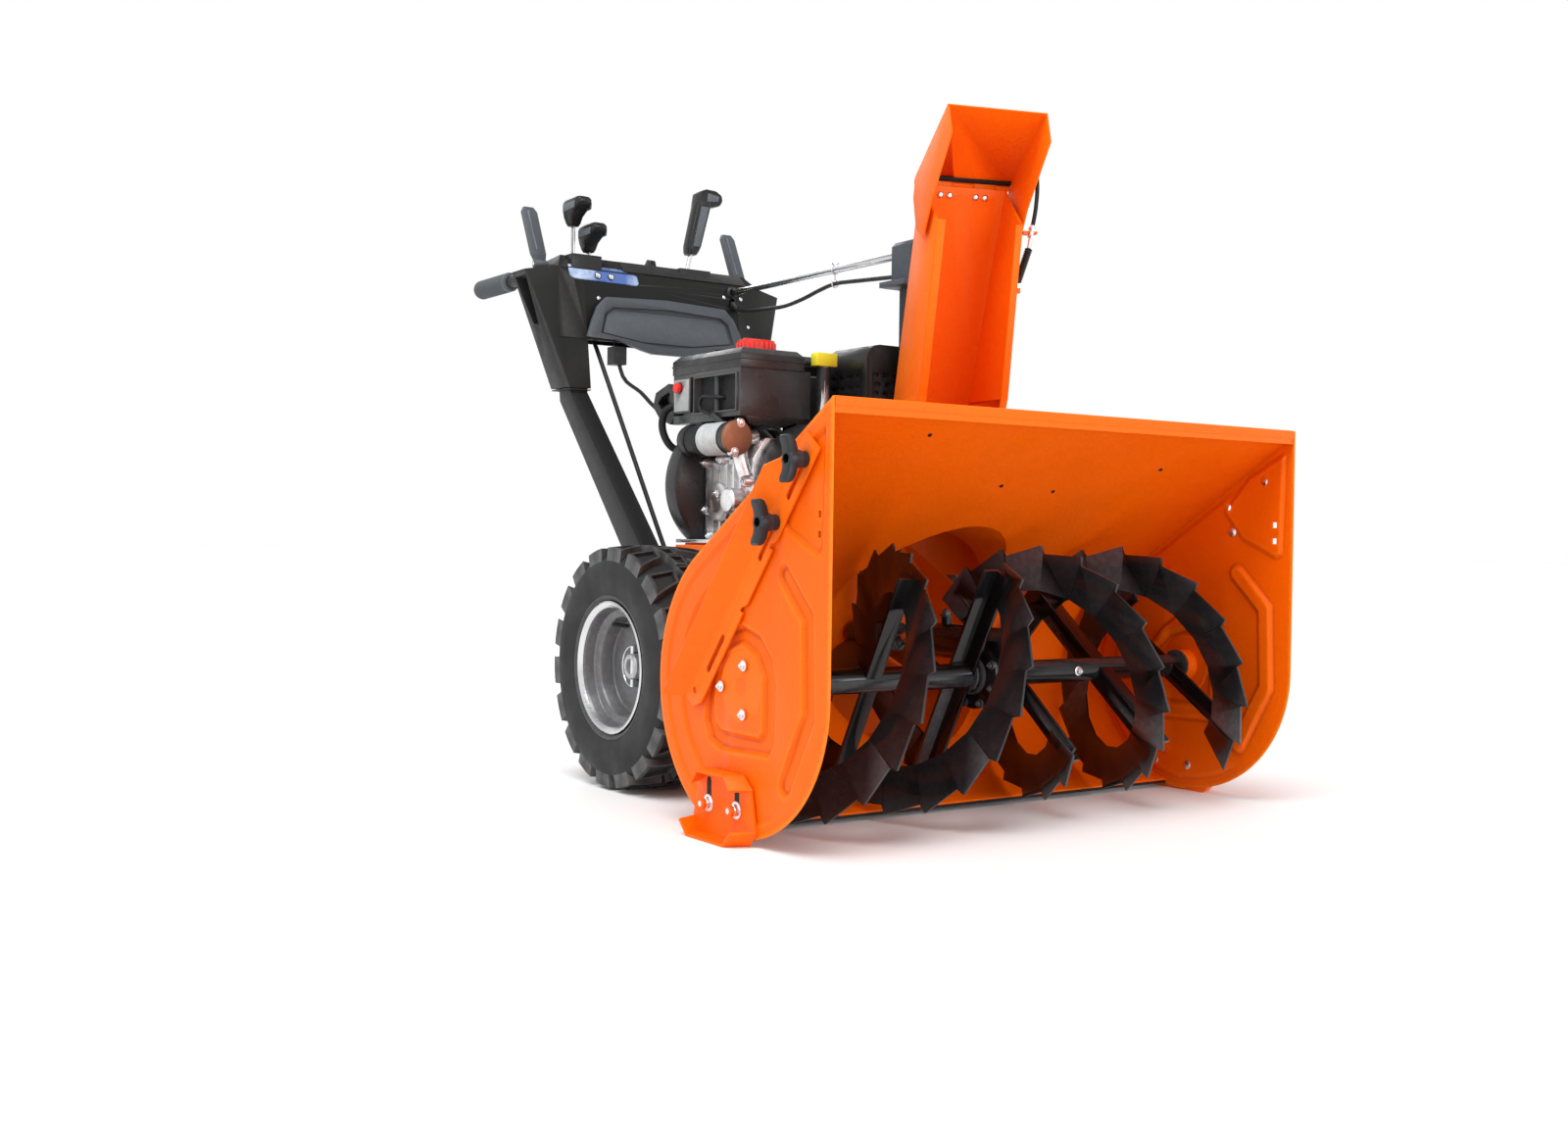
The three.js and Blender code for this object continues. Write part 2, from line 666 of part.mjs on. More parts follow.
function buildEngine() {
  const front = 662;
  const back = 844;
  const left = -142;
  const right = 76;
  const base = frame.top + 4;
  const stickX = 12;
  const crankcaseOutline = [
    [left + 6, base],
    [right - 8, base],
    [right, base + 60],
    [right - 6, 596],
    [left + 30, 596],
    [left + 4, 560],
  ];
  const cylinderOutline = [
    [right - 20, 470],
    [176, 520],
    [176, 622],
    [right - 20, 600],
  ];
  const castings = [
    block([left, front, base], [right, back, base + 14]),
    pushY(crankcaseOutline, front + 4, back),
    discY([crank.x, crank.z], 74, front - 6, front + 20, 28),
    pushY(cylinderOutline, front + 30, back - 20),
    bar([stickX, 674, 560], [stickX, 668, 728], 12, 16),
    discX([746, 470], 20, left - 10, left + 20, 16),
    block([left - 6, 690, 440], [left + 10, 730, 500]),
  ];
  const fins = Array.from({ length: 5 }, (_, i) => {
    const x = 92 + i * 17;
    return block([x, front + 22, 506 + i * 3], [x + 4, back - 12, 628]);
  });
  const crankBore = discY([crank.x, crank.z], 13.3, 600, 900, 24);
  const stickBore = bar([stickX, 667.8, 732], [stickX, 672.4, 602], 6);
  const body = cut(join(...castings, ...fins), crankBore, stickBore);
  piece(machine, "engine_block", body, castAluminium);

  // The dipstick hangs in its tube and lifts out along it.
  const stick = join(
    bar([stickX, 667.9, 732], [stickX, 672, 610], 2.5, 8),
    block([stickX - 22, 657, 728.8], [stickX + 22, 677, 752]),
  );
  piece(machine, "dipstick", stick, yellowPlastic);

  const starterCentre = [-172, 594];
  const starter = join(
    discY(starterCentre, 28, 681, 821, 24),
    discY(starterCentre, 30, 665, 681, 24),
    discY(starterCentre, 30, 797, 813, 24),
    block([-176, 775, 608], [-146, 815, 625.7]),
    block([-150, 780, 572], [-130, 806, 584]),
  );
  piece(machine, "starter_motor", starter, castAluminium);

  const heaterBottom = 612;
  const heaterTop = 715;
  const boxLeft = -172;
  const ropeHole = discY([-152, 662], 4, 660, 900, 12);
  const heater = cut(
    join(
      block([boxLeft, 658, heaterBottom + 20], [-24, 846, heaterTop]),
      block([boxLeft, 840, heaterBottom + 50], [-24, 880, heaterTop]),
      block([boxLeft, 720, heaterBottom + 14], [boxLeft + 20, 880, heaterBottom + 30]),
      block([boxLeft - 6, 812, 645], [boxLeft + 4, 868, 708]),
      block([boxLeft - 4, 664, 640], [boxLeft + 4, 806, 706]),
    ),
    ropeHole,
    discX([845, 690], 6.5, boxLeft - 20, boxLeft + 12, 16),
  );
  piece(machine, "heater_box", heater, blackPlastic);

  const switchBody = join(
    discX([845, 690], 6, boxLeft - 12, boxLeft + 8, 16),
    discX([845, 690], 9, boxLeft - 18, boxLeft - 10, 16),
  );
  piece(machine, "stop_switch", switchBody, redPlastic);

  const neck = [-78, 752];
  const tank = cut(
    join(
      cushion([boxLeft, 657, heaterTop + gap], [-38, 884, 750], 10),
      cushion([-60, 706, heaterTop + gap], [40, 884, 750], 10),
      discZ(neck, 24, 740, 762, 24),
    ),
    discZ(neck, 20, 738, 770, 24),
  );
  piece(machine, "fuel_tank", tank, blackPlastic);

  const cap = cut(
    discZ(neck, 34, 751, 774, 24),
    cut(discZ(neck, 24.6, 740, 766, 24), discZ(neck, 19, 740, 770, 24)),
  );
  piece(machine, "fuel_cap", cap, redPlastic);

  const recoil = cut(
    turnedY([[850, 0], [850, 132], [890, 132], [916, 108], [922, 60], [922, 0]], 32),
    discY([0, 0], 112, 846, 908, 32),
  );
  piece(machine, "recoil_cover", recoil, blackPlastic, [crank.x, 0, crank.z]);

  const guardOutline = [
    [48, 636],
    [196, 636],
    [196, 726],
    ...arc([168, 738], 28, 0, 90, 4),
    ...arc([76, 738], 28, 90, 180, 4),
  ];
  const guardRoom = [
    [52, 640],
    [192, 640],
    [192, 734],
    [170, 760],
    [74, 760],
    [52, 734],
  ];
  const mufflerOutline = [
    [62, 652],
    [182, 652],
    [182, 740],
    [164, 752],
    [80, 752],
    [62, 740],
  ];
  const guard = cut(pushY(guardOutline, 590, 706), pushY(guardRoom, 594, 710));
  const muffler = join(
    pushY(mufflerOutline, 600, 690),
    block([110, 596, 690], [134, 604, 714]),
    block([112, 688, 640], [136, 712, 664]),
    block([112, 592, 634], [136, 604, 664]),
  );
  piece(machine, "muffler_guard", join(guard, muffler), blackPaint);

  const handleX = [-166, -138];
  const loop = [
    [888, 640],
    [902, 628],
    [940, 640],
    [966, 664],
    [956, 690],
    [910, 704],
    [888, 690],
  ];
  const eye = [
    [900, 656],
    [908, 650],
    [934, 658],
    [948, 670],
    [936, 680],
    [908, 688],
    [900, 680],
  ];
  const handle = join(
    pushX(loop, ...handleX, [eye]),
    discY([-152, 662], 2.5, 672, 892, 8),
  );
  piece(machine, "recoil_handle", handle, blackPlastic);
}

// ---------------------------------------------------------------- tractor frame and wheels

function buildTractorFrame() {
  const { half, front, mid, back, bottom, top } = frame;
  const drumRoom = discY([0, impeller.z], drum.radius + sheet + gap, 400, drum.back + gap, 32);
  const outside = block([-half, front, bottom], [half, back, top]);
  const rearRoom = block(
    [-half + sheet, mid + sheet, bottom + sheet],
    [half - sheet, back - sheet, top - sheet],
  );
  const beltRoom = block([-half + sheet, front - 10, bottom + sheet], [half - sheet, mid, top + 20]);
  const axleHole = discX([wheel.y, wheel.z], axleRadius + gap, -400, 400, 24);
  const handHole = block([-60, mid + 40, bottom - 5], [60, back - 40, bottom + 10]);
  const deck = block([-half + 20, mid + 2, top - 1], [half - 20, back, top + 4 - gap]);
  const gussets = [-1, 1].map((side) =>
    block(
      side < 0 ? [-half, front, 150] : [half - 14, front, 150],
      side < 0 ? [-half + 14, front + 6, 330] : [half, front + 6, 330],
    ),
  );
  const box = cut(outside, rearRoom, beltRoom);
  const body = cut(join(box, deck, ...gussets), axleHole, handHole, drumRoom);
  piece(machine, "tractor_frame", body, orangePaint);

  const hubReach = wheel.x + 16;
  piece(machine, "axle", discX([wheel.y, wheel.z], axleRadius, -hubReach, hubReach, 24), brightSteel);
}

function buildWheels() {
  const wheelSteps = 30;
  const half = wheel.width / 2;
  const rim = wheel.rimRadius;
  const tyreProfile = [
    [-half + 20, rim],
    [-half + 6, rim + 14],
    [-half, rim + 42],
    [-half + 4, rim + 74],
    [-half + 20, wheel.radius - 10],
    [-half + 34, wheel.radius - 2],
    [-28, wheel.radius],
    [28, wheel.radius],
    [half - 34, wheel.radius - 2],
    [half - 20, wheel.radius - 10],
    [half - 4, rim + 74],
    [half, rim + 42],
    [half - 6, rim + 14],
    [half - 20, rim],
    [-half + 20, rim],
  ];
  const seat = rim - gap;
  const rimProfile = [
    [-half + 20, seat],
    [-half + 8, seat + 4],
    [-half + 8, seat],
    [-half + 18, seat - 5],
    [-half + 52, seat - 8],
    [-half + 58, seat - 24],
    [-half + 96, seat - 28],
    [-half + 96, axleRadius + 16],
    [-half + 72, axleRadius + 14],
    [-half + 72, axleRadius + gap],
    [half - 20, axleRadius + gap],
    [half - 20, axleRadius + 10],
    [-half + 102, axleRadius + 12],
    [-half + 102, seat - 22],
    [half - 20, seat - 14],
    [half - 20, seat],
    [-half + 20, seat],
  ];
  for (const side of [-1, 1]) {
    const name = side < 0 ? "left" : "right";
    const group = new THREE.Group();
    group.position.set(side * wheel.x, wheel.y, wheel.z);
    machine.add(group);
    const face = (profile) => (side < 0 ? profile : mirrored(profile));
    piece(group, `tyre_${name}`, turnedX(face(tyreProfile), wheelSteps), tyreRubber);
    piece(group, `rim_${name}`, turnedX(face(rimProfile), wheelSteps), rimSteel);
  }
}

// ---------------------------------------------------------------- chute

function buildChute() {
  const group = new THREE.Group();
  group.position.set(chute.x, chute.y, 0);
  group.rotation.z = THREE.MathUtils.degToRad(chute.turn);
  machine.add(group);

  const steel = 2.5;
  const lip = 12;
  const [bottom, knee, top] = [524, 655, 996];
  const backHalf = (z) => 68 + 0.018 * (z - knee);
  const frontHalf = (z) => 77 - 0.018 * (z - knee);
  const wallAt = (z) => 12 - (z < knee ? 0.214 : 0.375) * (z - knee);
  const lipAt = (z) => -129 - (z < knee ? 0.481 : 0.214) * (z - knee);
  const walls = [[bottom, knee], [knee, top]].flatMap(([low, high]) => {
    const back = [-1, 1].map((side) => [
      [side * backHalf(low), wallAt(low), low],
      [side * backHalf(high), wallAt(high), high],
    ]);
    const front = [-1, 1].map((side) => [
      [side * frontHalf(low), lipAt(low), low],
      [side * frontHalf(high), lipAt(high), high],
    ]);
    const lips = [-1, 1].map((side) => [
      [side * (frontHalf(low) - lip), lipAt(low) - 3, low],
      [side * (frontHalf(high) - lip), lipAt(high) - 3, high],
    ]);
    return [
      plate([...back[0], ...back[1]], steel),
      plate([...back[0], ...front[0]], steel),
      plate([...back[1], ...front[1]], steel),
      plate([...front[0], ...lips[0]], steel),
      plate([...front[1], ...lips[1]], steel),
    ];
  });
  const bibTop = 582;
  const bib = plate(
    [
      ...pair(frontHalf(bottom), lipAt(bottom), bottom),
      ...pair(frontHalf(bibTop), lipAt(bibTop), bibTop),
    ],
    steel,
  );
  // The side walls slope up from the lips to the back wall, clear of the deflector.
  const aboveSidesOutline = [
    [-400, 926],
    [-188, 926],
    [-119, 993],
    [-119, 1200],
    [-400, 1200],
  ];
  const aboveSides = pushX(aboveSidesOutline, -200, 200);
  const channel = cut(join(...walls, bib), aboveSides);

  const opening = chute.ringRadius - sheet;
  const collar = join(
    discZ([0, 0], chute.ringRadius + 3, chute.ringTop + 10, 540, 32),
    pushZ(
      gearOutline(ringGear.teeth, (ringGear.teeth * ringGear.module) / 2, 8, 0.36),
      chute.ringTop + 2,
      chute.ringTop + 12,
    ),
    pushZ(
      [
        [-frontHalf(bottom), lipAt(bottom)],
        [frontHalf(bottom), lipAt(bottom)],
        [backHalf(bottom), wallAt(bottom)],
        [-backHalf(bottom), wallAt(bottom)],
      ],
      bottom - 2,
      bottom + 2,
    ),
  );
  const knuckles = [-1, 1].flatMap((side) => {
    const [x0, x1] = side < 0 ? [-56, -20] : [20, 56];
    return [
      discX([chute.hingeY, chute.hingeZ], 5, x0, x1, 12),
      block([x0, chute.hingeY - 4, 980], [x1, chute.hingeY + 2, chute.hingeZ - 2]),
    ];
  });
  // Tab on the right wall that holds the lower end of the deflector cable.
  const tab = block([frontHalf(832) - 3, -132, 828], [frontHalf(832) + 22, -122, 836]);
  const spout = cut(join(channel, collar, ...knuckles, tab), discZ([0, 0], opening, 480, 536, 32));
  piece(group, "chute_spout", spout, orangePaint);
  buildDeflector(group, steel);
  buildChutePost();
}

function buildDeflector(group, steel) {
  const half = 81;
  const side = [
    [2, -27],
    [-6, 6],
    [-142, 88],
    [-157, 40],
    [-76, -48],
    [-44, -100],
    [-12, -78],
  ];
  const body = join(
    plate([...pair(half, -7, 4.3), ...pair(half, -142, 87)], steel),
    pushX(side, -half - steel, -half),
    pushX(side, half, half + steel),
    discX([0, 0], 5, -19, 19, 12),
    plate([...pair(19, 0, 0), ...pair(19, -14, 8.6)], 3),
    block([half, -66, -85], [half + 24, -48, -81]),
  );
  piece(group, "chute_deflector", body, orangePaint, [0, chute.hingeY, chute.hingeZ]);
}

function buildChutePost() {
  const post = gearPost;
  const halfPost = post.size / 2;
  const postTop = post.top - 10;
  const frontLeft = [post.x - halfPost, post.y - halfPost];
  const backRight = [post.x + halfPost, post.y + halfPost];
  const bracketLeft = post.x + 22;
  const bracketRight = bracketLeft + 5;
  const shaftRoom = discZ([post.x, post.y], 7, 400, 900, 12);
  const gearRoom = discZ([post.x, post.y], 27, chute.ringTop - 4, 516, 24);
  const tabs = [680, 715].map((z) =>
    block([frontLeft[0] - 5, post.y + 2, z], [frontLeft[0] + 2, post.y + 10, z + 20]),
  );
  const postBody = join(
    block([...frontLeft, 516], [...backRight, postTop]),
    block([post.x - 58, post.y - 38, postTop], [post.x + 30, post.y + 30, post.top]),
    block([bracketLeft, drum.back + gap, 380], [bracketRight, post.y + 24, 560]),
    block([post.x + 10, post.y - 16, 520], [bracketRight, post.y + 16, 560]),
    ...tabs,
  );
  piece(machine, "chute_gear_post", cut(postBody, shaftRoom, gearRoom), greyPlastic);

  const low = post.top + gap;
  const top = 946;
  const left = post.x - 40;
  const right = post.x + 24;
  const outline = [
    [left, low],
    [right, low],
    [right, top - 8],
    [right - 8, top],
    [left + 8, top],
    [left, top - 8],
  ];
  const gearbox = cut(
    pushY(outline, post.y - 33, post.y + 19),
    discZ([post.x, post.y], 7, 800, 900, 12),
    bar(rodAt(540), rodAt(640), rodRadius + gap, 16),
  );
  piece(machine, "chute_gearbox", gearbox, greyPlastic);

  const pinion = join(
    pushZ(
      gearOutline(
        ringGear.pinionTeeth,
        (ringGear.pinionTeeth * ringGear.module) / 2,
        8,
        0.36,
        pinionPhase,
      ),
      chute.ringTop + 2,
      chute.ringTop + 12,
    ),
    discZ([0, 0], 6, chute.ringTop + 2, 890, 12),
  );
  piece(machine, "chute_pinion", pinion, brightSteel, [post.x, post.y, 0]);
}

// The pinion has a gap where the ring gear has a tooth, on the line between the two centres.
const pinionPhase = (() => {
  const toPinion = Math.atan2(gearPost.y - chute.y, gearPost.x - chute.x);
  const ringPitch = (2 * Math.PI) / ringGear.teeth;
  const pinionPitch = (2 * Math.PI) / ringGear.pinionTeeth;
  const inRing = (toPinion - THREE.MathUtils.degToRad(chute.turn)) / ringPitch;
  const ringOffset = inRing - Math.round(inRing);
  return toPinion + Math.PI + (ringOffset + 0.5) * pinionPitch;
})();

// ---------------------------------------------------------------- chute rod and its lever

const rodRadius = 7;
const rodFront = [124, 580, 928];
const rodRear = [170.6, 1205, 941];

// The point of the rod's centre line at y.
function rodAt(y) {
  const share = (y - rodFront[1]) / (rodRear[1] - rodFront[1]);
  return rodFront.map((value, i) => value + (rodRear[i] - value) * share);
}

const lever = { x: 77, y: 1268, z: 945, lean: 0.24 };

function buildChuteRod() {
  piece(machine, "chute_rod", bar(rodAt(548), rodAt(1262), rodRadius, 14), brightSteel);

  const at = (lift) => [lever.x + lift * lever.lean, lever.y, lever.z + lift];
  const gripSections = [
    [74, 13, 14],
    [90, 18, 17],
    [182, 19, 18],
  ];
  const handle = wrap(
    gripSections.flatMap(([lift, halfX, halfY]) => {
      const [x, y, z] = at(lift);
      return level([x - halfX, y - halfY], [x + halfX, y + halfY], z);
    }),
  );
  // The head points to the right; each row is a corner's x and z from its middle, and its half depth.
  const headCorners = [
    [-21, -16, 18],
    [38, -8, 15],
    [-17, 19, 16],
    [42, 19, 14],
    [10, 26, 13],
  ];
  const [headX, headY, headZ] = at(190);
  const head = wrap(
    headCorners.flatMap(([x, z, half]) => [
      [headX + x, headY - half, headZ + z],
      [headX + x, headY + half, headZ + z],
    ]),
  );
  const stem = bar(at(0), at(100), 4.5, 10);
  const eye = discY([lever.x, lever.z], 9, lever.y - 6, lever.y + 6, 14);
  piece(machine, "chute_lever", join(stem, eye, handle, head), blackPlastic);
}

// ---------------------------------------------------------------- handlebars and console

function legOutline() {
  const { footY, footZ, bendY, bendZ, depth } = leg;
  const lower = new THREE.Vector2(bendY - footY, bendZ - footZ).normalize();
  const across = new THREE.Vector2(lower.y, -lower.x).multiplyScalar(depth);
  return [
    [footY, footZ],
    [footY + across.x, footZ + across.y],
    [bendY + across.x * 0.98, bendZ + across.y * 0.42],
    [bendY + depth - 6, bendZ + 60],
    [bendY + 8, bendZ + 60],
    [bendY, bendZ],
  ];
}

function buildHandlebars() {
  const outline = legOutline();
  const footOutline = [
    [800, 300],
    [846, 262],
    [846, 330],
    [828, 330],
  ];
  for (const side of [-1, 1]) {
    const [x0, x1] = side < 0 ? [-leg.outer, -leg.inner] : [leg.inner, leg.outer];
    const foot = side < 0 ? [-leg.outer, -frame.half - gap] : [frame.half + gap, leg.outer];
    const body = join(
      pushX(outline, x0, x1),
      pushX(footOutline, ...foot),
    );
    piece(machine, side < 0 ? "handlebar_left" : "handlebar_right", body, darkFrame);
  }
}

// The console's front face leans back: its y at height z.
function frontAt(z) {
  const lean = (consoleTop.front - leg.bendY) / (consoleTop.z - leg.bendZ);
  return leg.bendY + (z - leg.bendZ) * lean;
}

function buildConsole() {
  const faceHalf = 238;
  const deckHalf = 218;
  const backHalf = 212;
  const low = leg.bendZ + 4;
  const archZ = 812;
  const top = consoleTop.z;
  const innerLeg = leg.inner - 6;
  const outerLow = leg.outer + 5;
  const backTop = consoleTop.back;
  const lowFront = frontAt(low);
  const topFront = frontAt(top);
  const archFront = frontAt(archZ);
  const armCorners = [
    [innerLeg, lowFront - 4, low],
    [outerLow - 6, lowFront - 4, low],
    [outerLow, lowFront + 4, low],
    [outerLow, lowFront + leg.depth + 8, low],
    [innerLeg, lowFront + leg.depth + 8, low],
    [innerLeg, topFront, top],
    [faceHalf, topFront, top],
    [consoleTop.half, topFront + 16, top - 10],
    [consoleTop.half, backTop - 40, top - 10],
    [innerLeg, backTop - 20, top],
  ];
  const arms = [-1, 1].map((side) => wrap(armCorners.map(([x, y, z]) => [side * x, y, z])));
  const beam = wrap([
    ...pair(innerLeg + 8, archFront + 1, archZ),
    ...pair(innerLeg + 8, archFront + 70, archZ),
    ...pair(faceHalf, topFront, top),
    ...pair(backHalf, backTop, top),
    ...pair(deckHalf, topFront + 30, top + 28),
    ...pair(backHalf, backTop, top + 24),
  ]);
  const roomHalf = innerLeg - 6;
  const room = wrap([
    ...pair(roomHalf, archFront + 6, archZ - 6),
    ...pair(roomHalf, archFront + 60, archZ - 6),
    ...pair(roomHalf, topFront + 6, top),
    ...pair(roomHalf, topFront + 34, top + 24),
    ...pair(roomHalf, backTop - 6, top + 20),
  ]);
  const legRoom = [
    [leg.bendY - 2 * gap, leg.bendZ - 20],
    [leg.bendY - 2 * gap, leg.bendZ],
    [leg.bendY + 8 - 2 * gap, leg.bendZ + 60 + gap],
    [leg.bendY + leg.depth, leg.bendZ + 60 + gap],
    [leg.bendY + leg.depth, leg.bendZ - 20],
  ];
  const legs = [-1, 1].map((side) => {
    const [x0, x1] = side < 0 ? [-leg.outer, -leg.inner] : [leg.inner, leg.outer];
    return pushX(legRoom, x0 - gap, x1 + gap);
  });
  const slots = [
    block([lever.x - 14, lever.y - 12, top - 30], [lever.x + 40, lever.y + 12, top + 50]),
    block([-200, 1230, top - 30], [-182, 1278, top + 50]),
    block([-165, 1230, top - 30], [-147, 1278, top + 50]),
  ];
  const rodHole = bar(rodAt(1180), rodAt(1280), rodRadius + 1, 16);
  const cableHole = bar([171.2, 1236, 930], [169.2, 1190, 896], 9, 12);
  const tubes = [-1, 1].map((side) => discY([side * grip.x, grip.z], 13, 1250, 1400, 20));
  const lightRoom = wrap(headlightPoints(0.5));
  const openings = [room, ...legs, ...slots, rodHole, cableHole, ...tubes, lightRoom];
  const body = cut(join(...arms, beam), ...openings);
  piece(machine, "console_shell", body, blackPlastic);

  piece(machine, "headlight", wrap(headlightPoints(0)), clearLens);

  const halfBezel = [
    [0, 792],
    [40, 792],
    [66, 798],
    [120, 815],
    [186, 817],
    [174, 850],
    [160, 880],
    [140, 900],
    [0, 906],
  ];
  const halfPanel = [
    [0, 806],
    [60, 812],
    [158, 826],
    [146, 868],
    [128, 880],
    [0, 886],
  ];
  const bothSides = (half) => [...half, ...mirrored(half.slice(1, -1))];
  const clearOfFace = 4 + gap;
  const recess = cut(pushY(bothSides(halfPanel), 1150, 1230), behindFace(clearOfFace + 4));
  const bezel = cut(
    pushY(bothSides(halfBezel), 1180, 1230),
    behindFace(clearOfFace),
    aheadOfFace(clearOfFace + 12),
    recess,
  );
  piece(machine, "console_bezel", bezel, greyPlastic);

  for (const side of [-1, 1]) {
    const name = side < 0 ? "left" : "right";
    const centre = [side * grip.x, grip.z];
    const tube = join(
      discY(centre, 12.7, 1262, overallLength - 4, 20),
      discY(centre, grip.radius, grip.start, overallLength, 20),
    );
    piece(machine, `handle_grip_${name}`, tube, greyPlastic);
  }
}

// Everything between two planes parallel to the console's face, this far in front of it.
function besideFace(near, far) {
  const corners = [740, 940].flatMap((z) => [
    ...pair(400, frontAt(z) - near, z),
    ...pair(400, frontAt(z) - far, z),
  ]);
  return wrap(corners);
}

const behindFace = (standOff) => besideFace(standOff, -120);
const aheadOfFace = (standOff) => besideFace(standOff, standOff + 120);

// The headlight sits in the left of the console's front face and bends back over its top edge.
function headlightPoints(grow) {
  const middle = -134;
  const lower = [
    [-212, 938],
    [-203, 933],
    [-60, 931],
    [-54, 936],
    [-58, 952],
    [-215, 952],
  ];
  const upper = [
    [-212, 964],
    [-98, 964],
  ];
  return [
    ...lower.flatMap(([x, z]) => {
      const outwards = x + Math.sign(x - middle) * grow;
      const down = z < 945 ? z - grow : z;
      return [[outwards, frontAt(z) - 1, down], [outwards, frontAt(z) + 12 + grow, down]];
    }),
    ...upper.flatMap(([x, z]) => [[x, 1230, z], [x, 1237 + grow, z - 3]]),
  ];
}

// ---------------------------------------------------------------- levers

const clutchPivot = { x: 240, y: 1297, z: 967 };
const clutchLean = 0.45;

function buildLevers() {
  // How far along the lever, and its half width and half thickness there.
  const sections = [
    [0, 8, 7],
    [24, 14, 9],
    [126, 16, 6],
    [138, 10, 5],
  ];
  for (const side of [-1, 1]) {
    const name = side < 0 ? "left" : "right";
    const { y, z } = clutchPivot;
    const x = side * clutchPivot.x;
    const paddle = wrap(
      sections.flatMap(([run, half, thick]) => {
        const middleY = y + run * Math.sin(clutchLean);
        const height = z + run * Math.cos(clutchLean);
        return level([x - half, middleY - thick], [x + half, middleY + thick], height);
      }),
    );
    const hub = discX([y, z], 9, x - 14, x + 14, 14);
    piece(machine, `clutch_lever_${name}`, join(paddle, hub), greyPlastic);
  }
  buildSlotLever("speed_lever", -191, 1250, 936, 1096);
  buildSlotLever("deflector_lever", -156, 1250, 936, 1048);
}

// A flat steel stick through a slot in the console, with a moulded knob.
function buildSlotLever(name, x, y, low, high) {
  const stick = block([x - 2, y - 6, low], [x + 2, y + 6, high - 40]);
  const pivot = discX([y, low + 6], 8, x - 6, x + 6, 12);
  const knobBase = high - 58;
  const knob = wrap([
    ...level([x - 9, y - 10], [x + 9, y + 10], knobBase),
    ...level([x - 13, y - 12], [x + 13, y + 14], knobBase + 26),
    [x - 14, y - 42, high - 16],
    [x + 14, y - 42, high - 16],
    [x - 15, y + 14, high - 10],
    [x + 15, y + 14, high - 10],
    [x - 11, y - 38, high - 4],
    [x + 11, y - 38, high - 4],
    [x - 11, y + 8, high],
    [x + 11, y + 8, high],
  ]);
  piece(machine, name, join(stick, pivot, knob), blackPlastic);
}

// ---------------------------------------------------------------- drift cutters

const cutterTop = [36, 548];
const cutterEnd = [328, 180];
const cutterBolts = [
  [54, 525],
  [119, 443],
];
const knobReach = 20;

function buildDriftCutters() {
  const along = new THREE.Vector2(cutterEnd[0] - cutterTop[0], cutterEnd[1] - cutterTop[1]);
  const length = along.length();
  along.normalize();
  const across = new THREE.Vector2(-along.y, along.x);
  const at = (run, side) => [
    cutterTop[0] + along.x * run + across.x * side,
    cutterTop[1] + along.y * run + across.y * side,
  ];
  const slot = (run, span) => {
    const turn = THREE.MathUtils.radToDeg(Math.atan2(along.y, along.x));
    return [
      ...arc(at(run, 0), 5, turn + 90, turn + 270, 6),
      ...arc(at(run + span, 0), 5, turn - 90, turn + 90, 6),
    ];
  };
  const boltRun = cutterBolts.map(
    ([y, z]) => (y - cutterTop[0]) * along.x + (z - cutterTop[1]) * along.y,
  );
  const flatOutline = [
    at(0, -16),
    at(0, 22),
    at(length, 22),
    at(length, -4),
    at(length - 20, -16),
  ];
  const slots = [slot(boltRun[0] - 1, 62), slot(boltRun[1] - 1, 62), slot(length - 130, 60)];
  const stand = 30;
  for (const side of [-1, 1]) {
    const name = side < 0 ? "left" : "right";
    const low = panelOuter + gap;
    const span = side < 0 ? [-low - 3, -low] : [low, low + 3];
    const cutSpan = [span[0] - 1, span[1] + 1];
    const flat = cut(pushX(flatOutline, ...span), ...slots.map((outline) => pushX(outline, ...cutSpan)));
    const root = side * (low + 1.8);
    const edge = side * (low + stand);
    const flange = plate(
      [
        [root, ...at(30, 21)],
        [edge, ...at(70, 40)],
        [edge, ...at(length + 12, 40)],
        [root, ...at(length, 21)],
      ],
      3,
    );
    piece(machine, `drift_cutter_${name}`, join(flat, flange), orangePaint);

    // Distances outwards from the panel's middle, as a span along x.
    const outwards = (near, far) => (side < 0 ? [-far, -near] : [near, far]);
    const out = low + 3 + gap;
    cutterBolts.forEach(([y, z], index) => {
      const stem = discX([y, z], 4, ...outwards(panelHalf - 4, out + 24), 10);
      const collar = discX([y, z], 11, ...outwards(out, out + 22), 16);
      const wingOutline = [
        ...arc([y, z + knobReach], 8, -10, 190, 6),
        ...arc([y, z - knobReach], 8, 170, 370, 6),
      ];
      const wing = pushX(wingOutline, ...outwards(out + 16, out + 34));
      const head = discX([y, z], 9, ...outwards(panelHalf - 6, panelHalf - 0.5), 12);
      const knob = join(stem, collar, wing, head);
      piece(machine, `cutter_knob_${name}_${index + 1}`, knob, blackPlastic);
    });
  }
}

// ---------------------------------------------------------------- cables

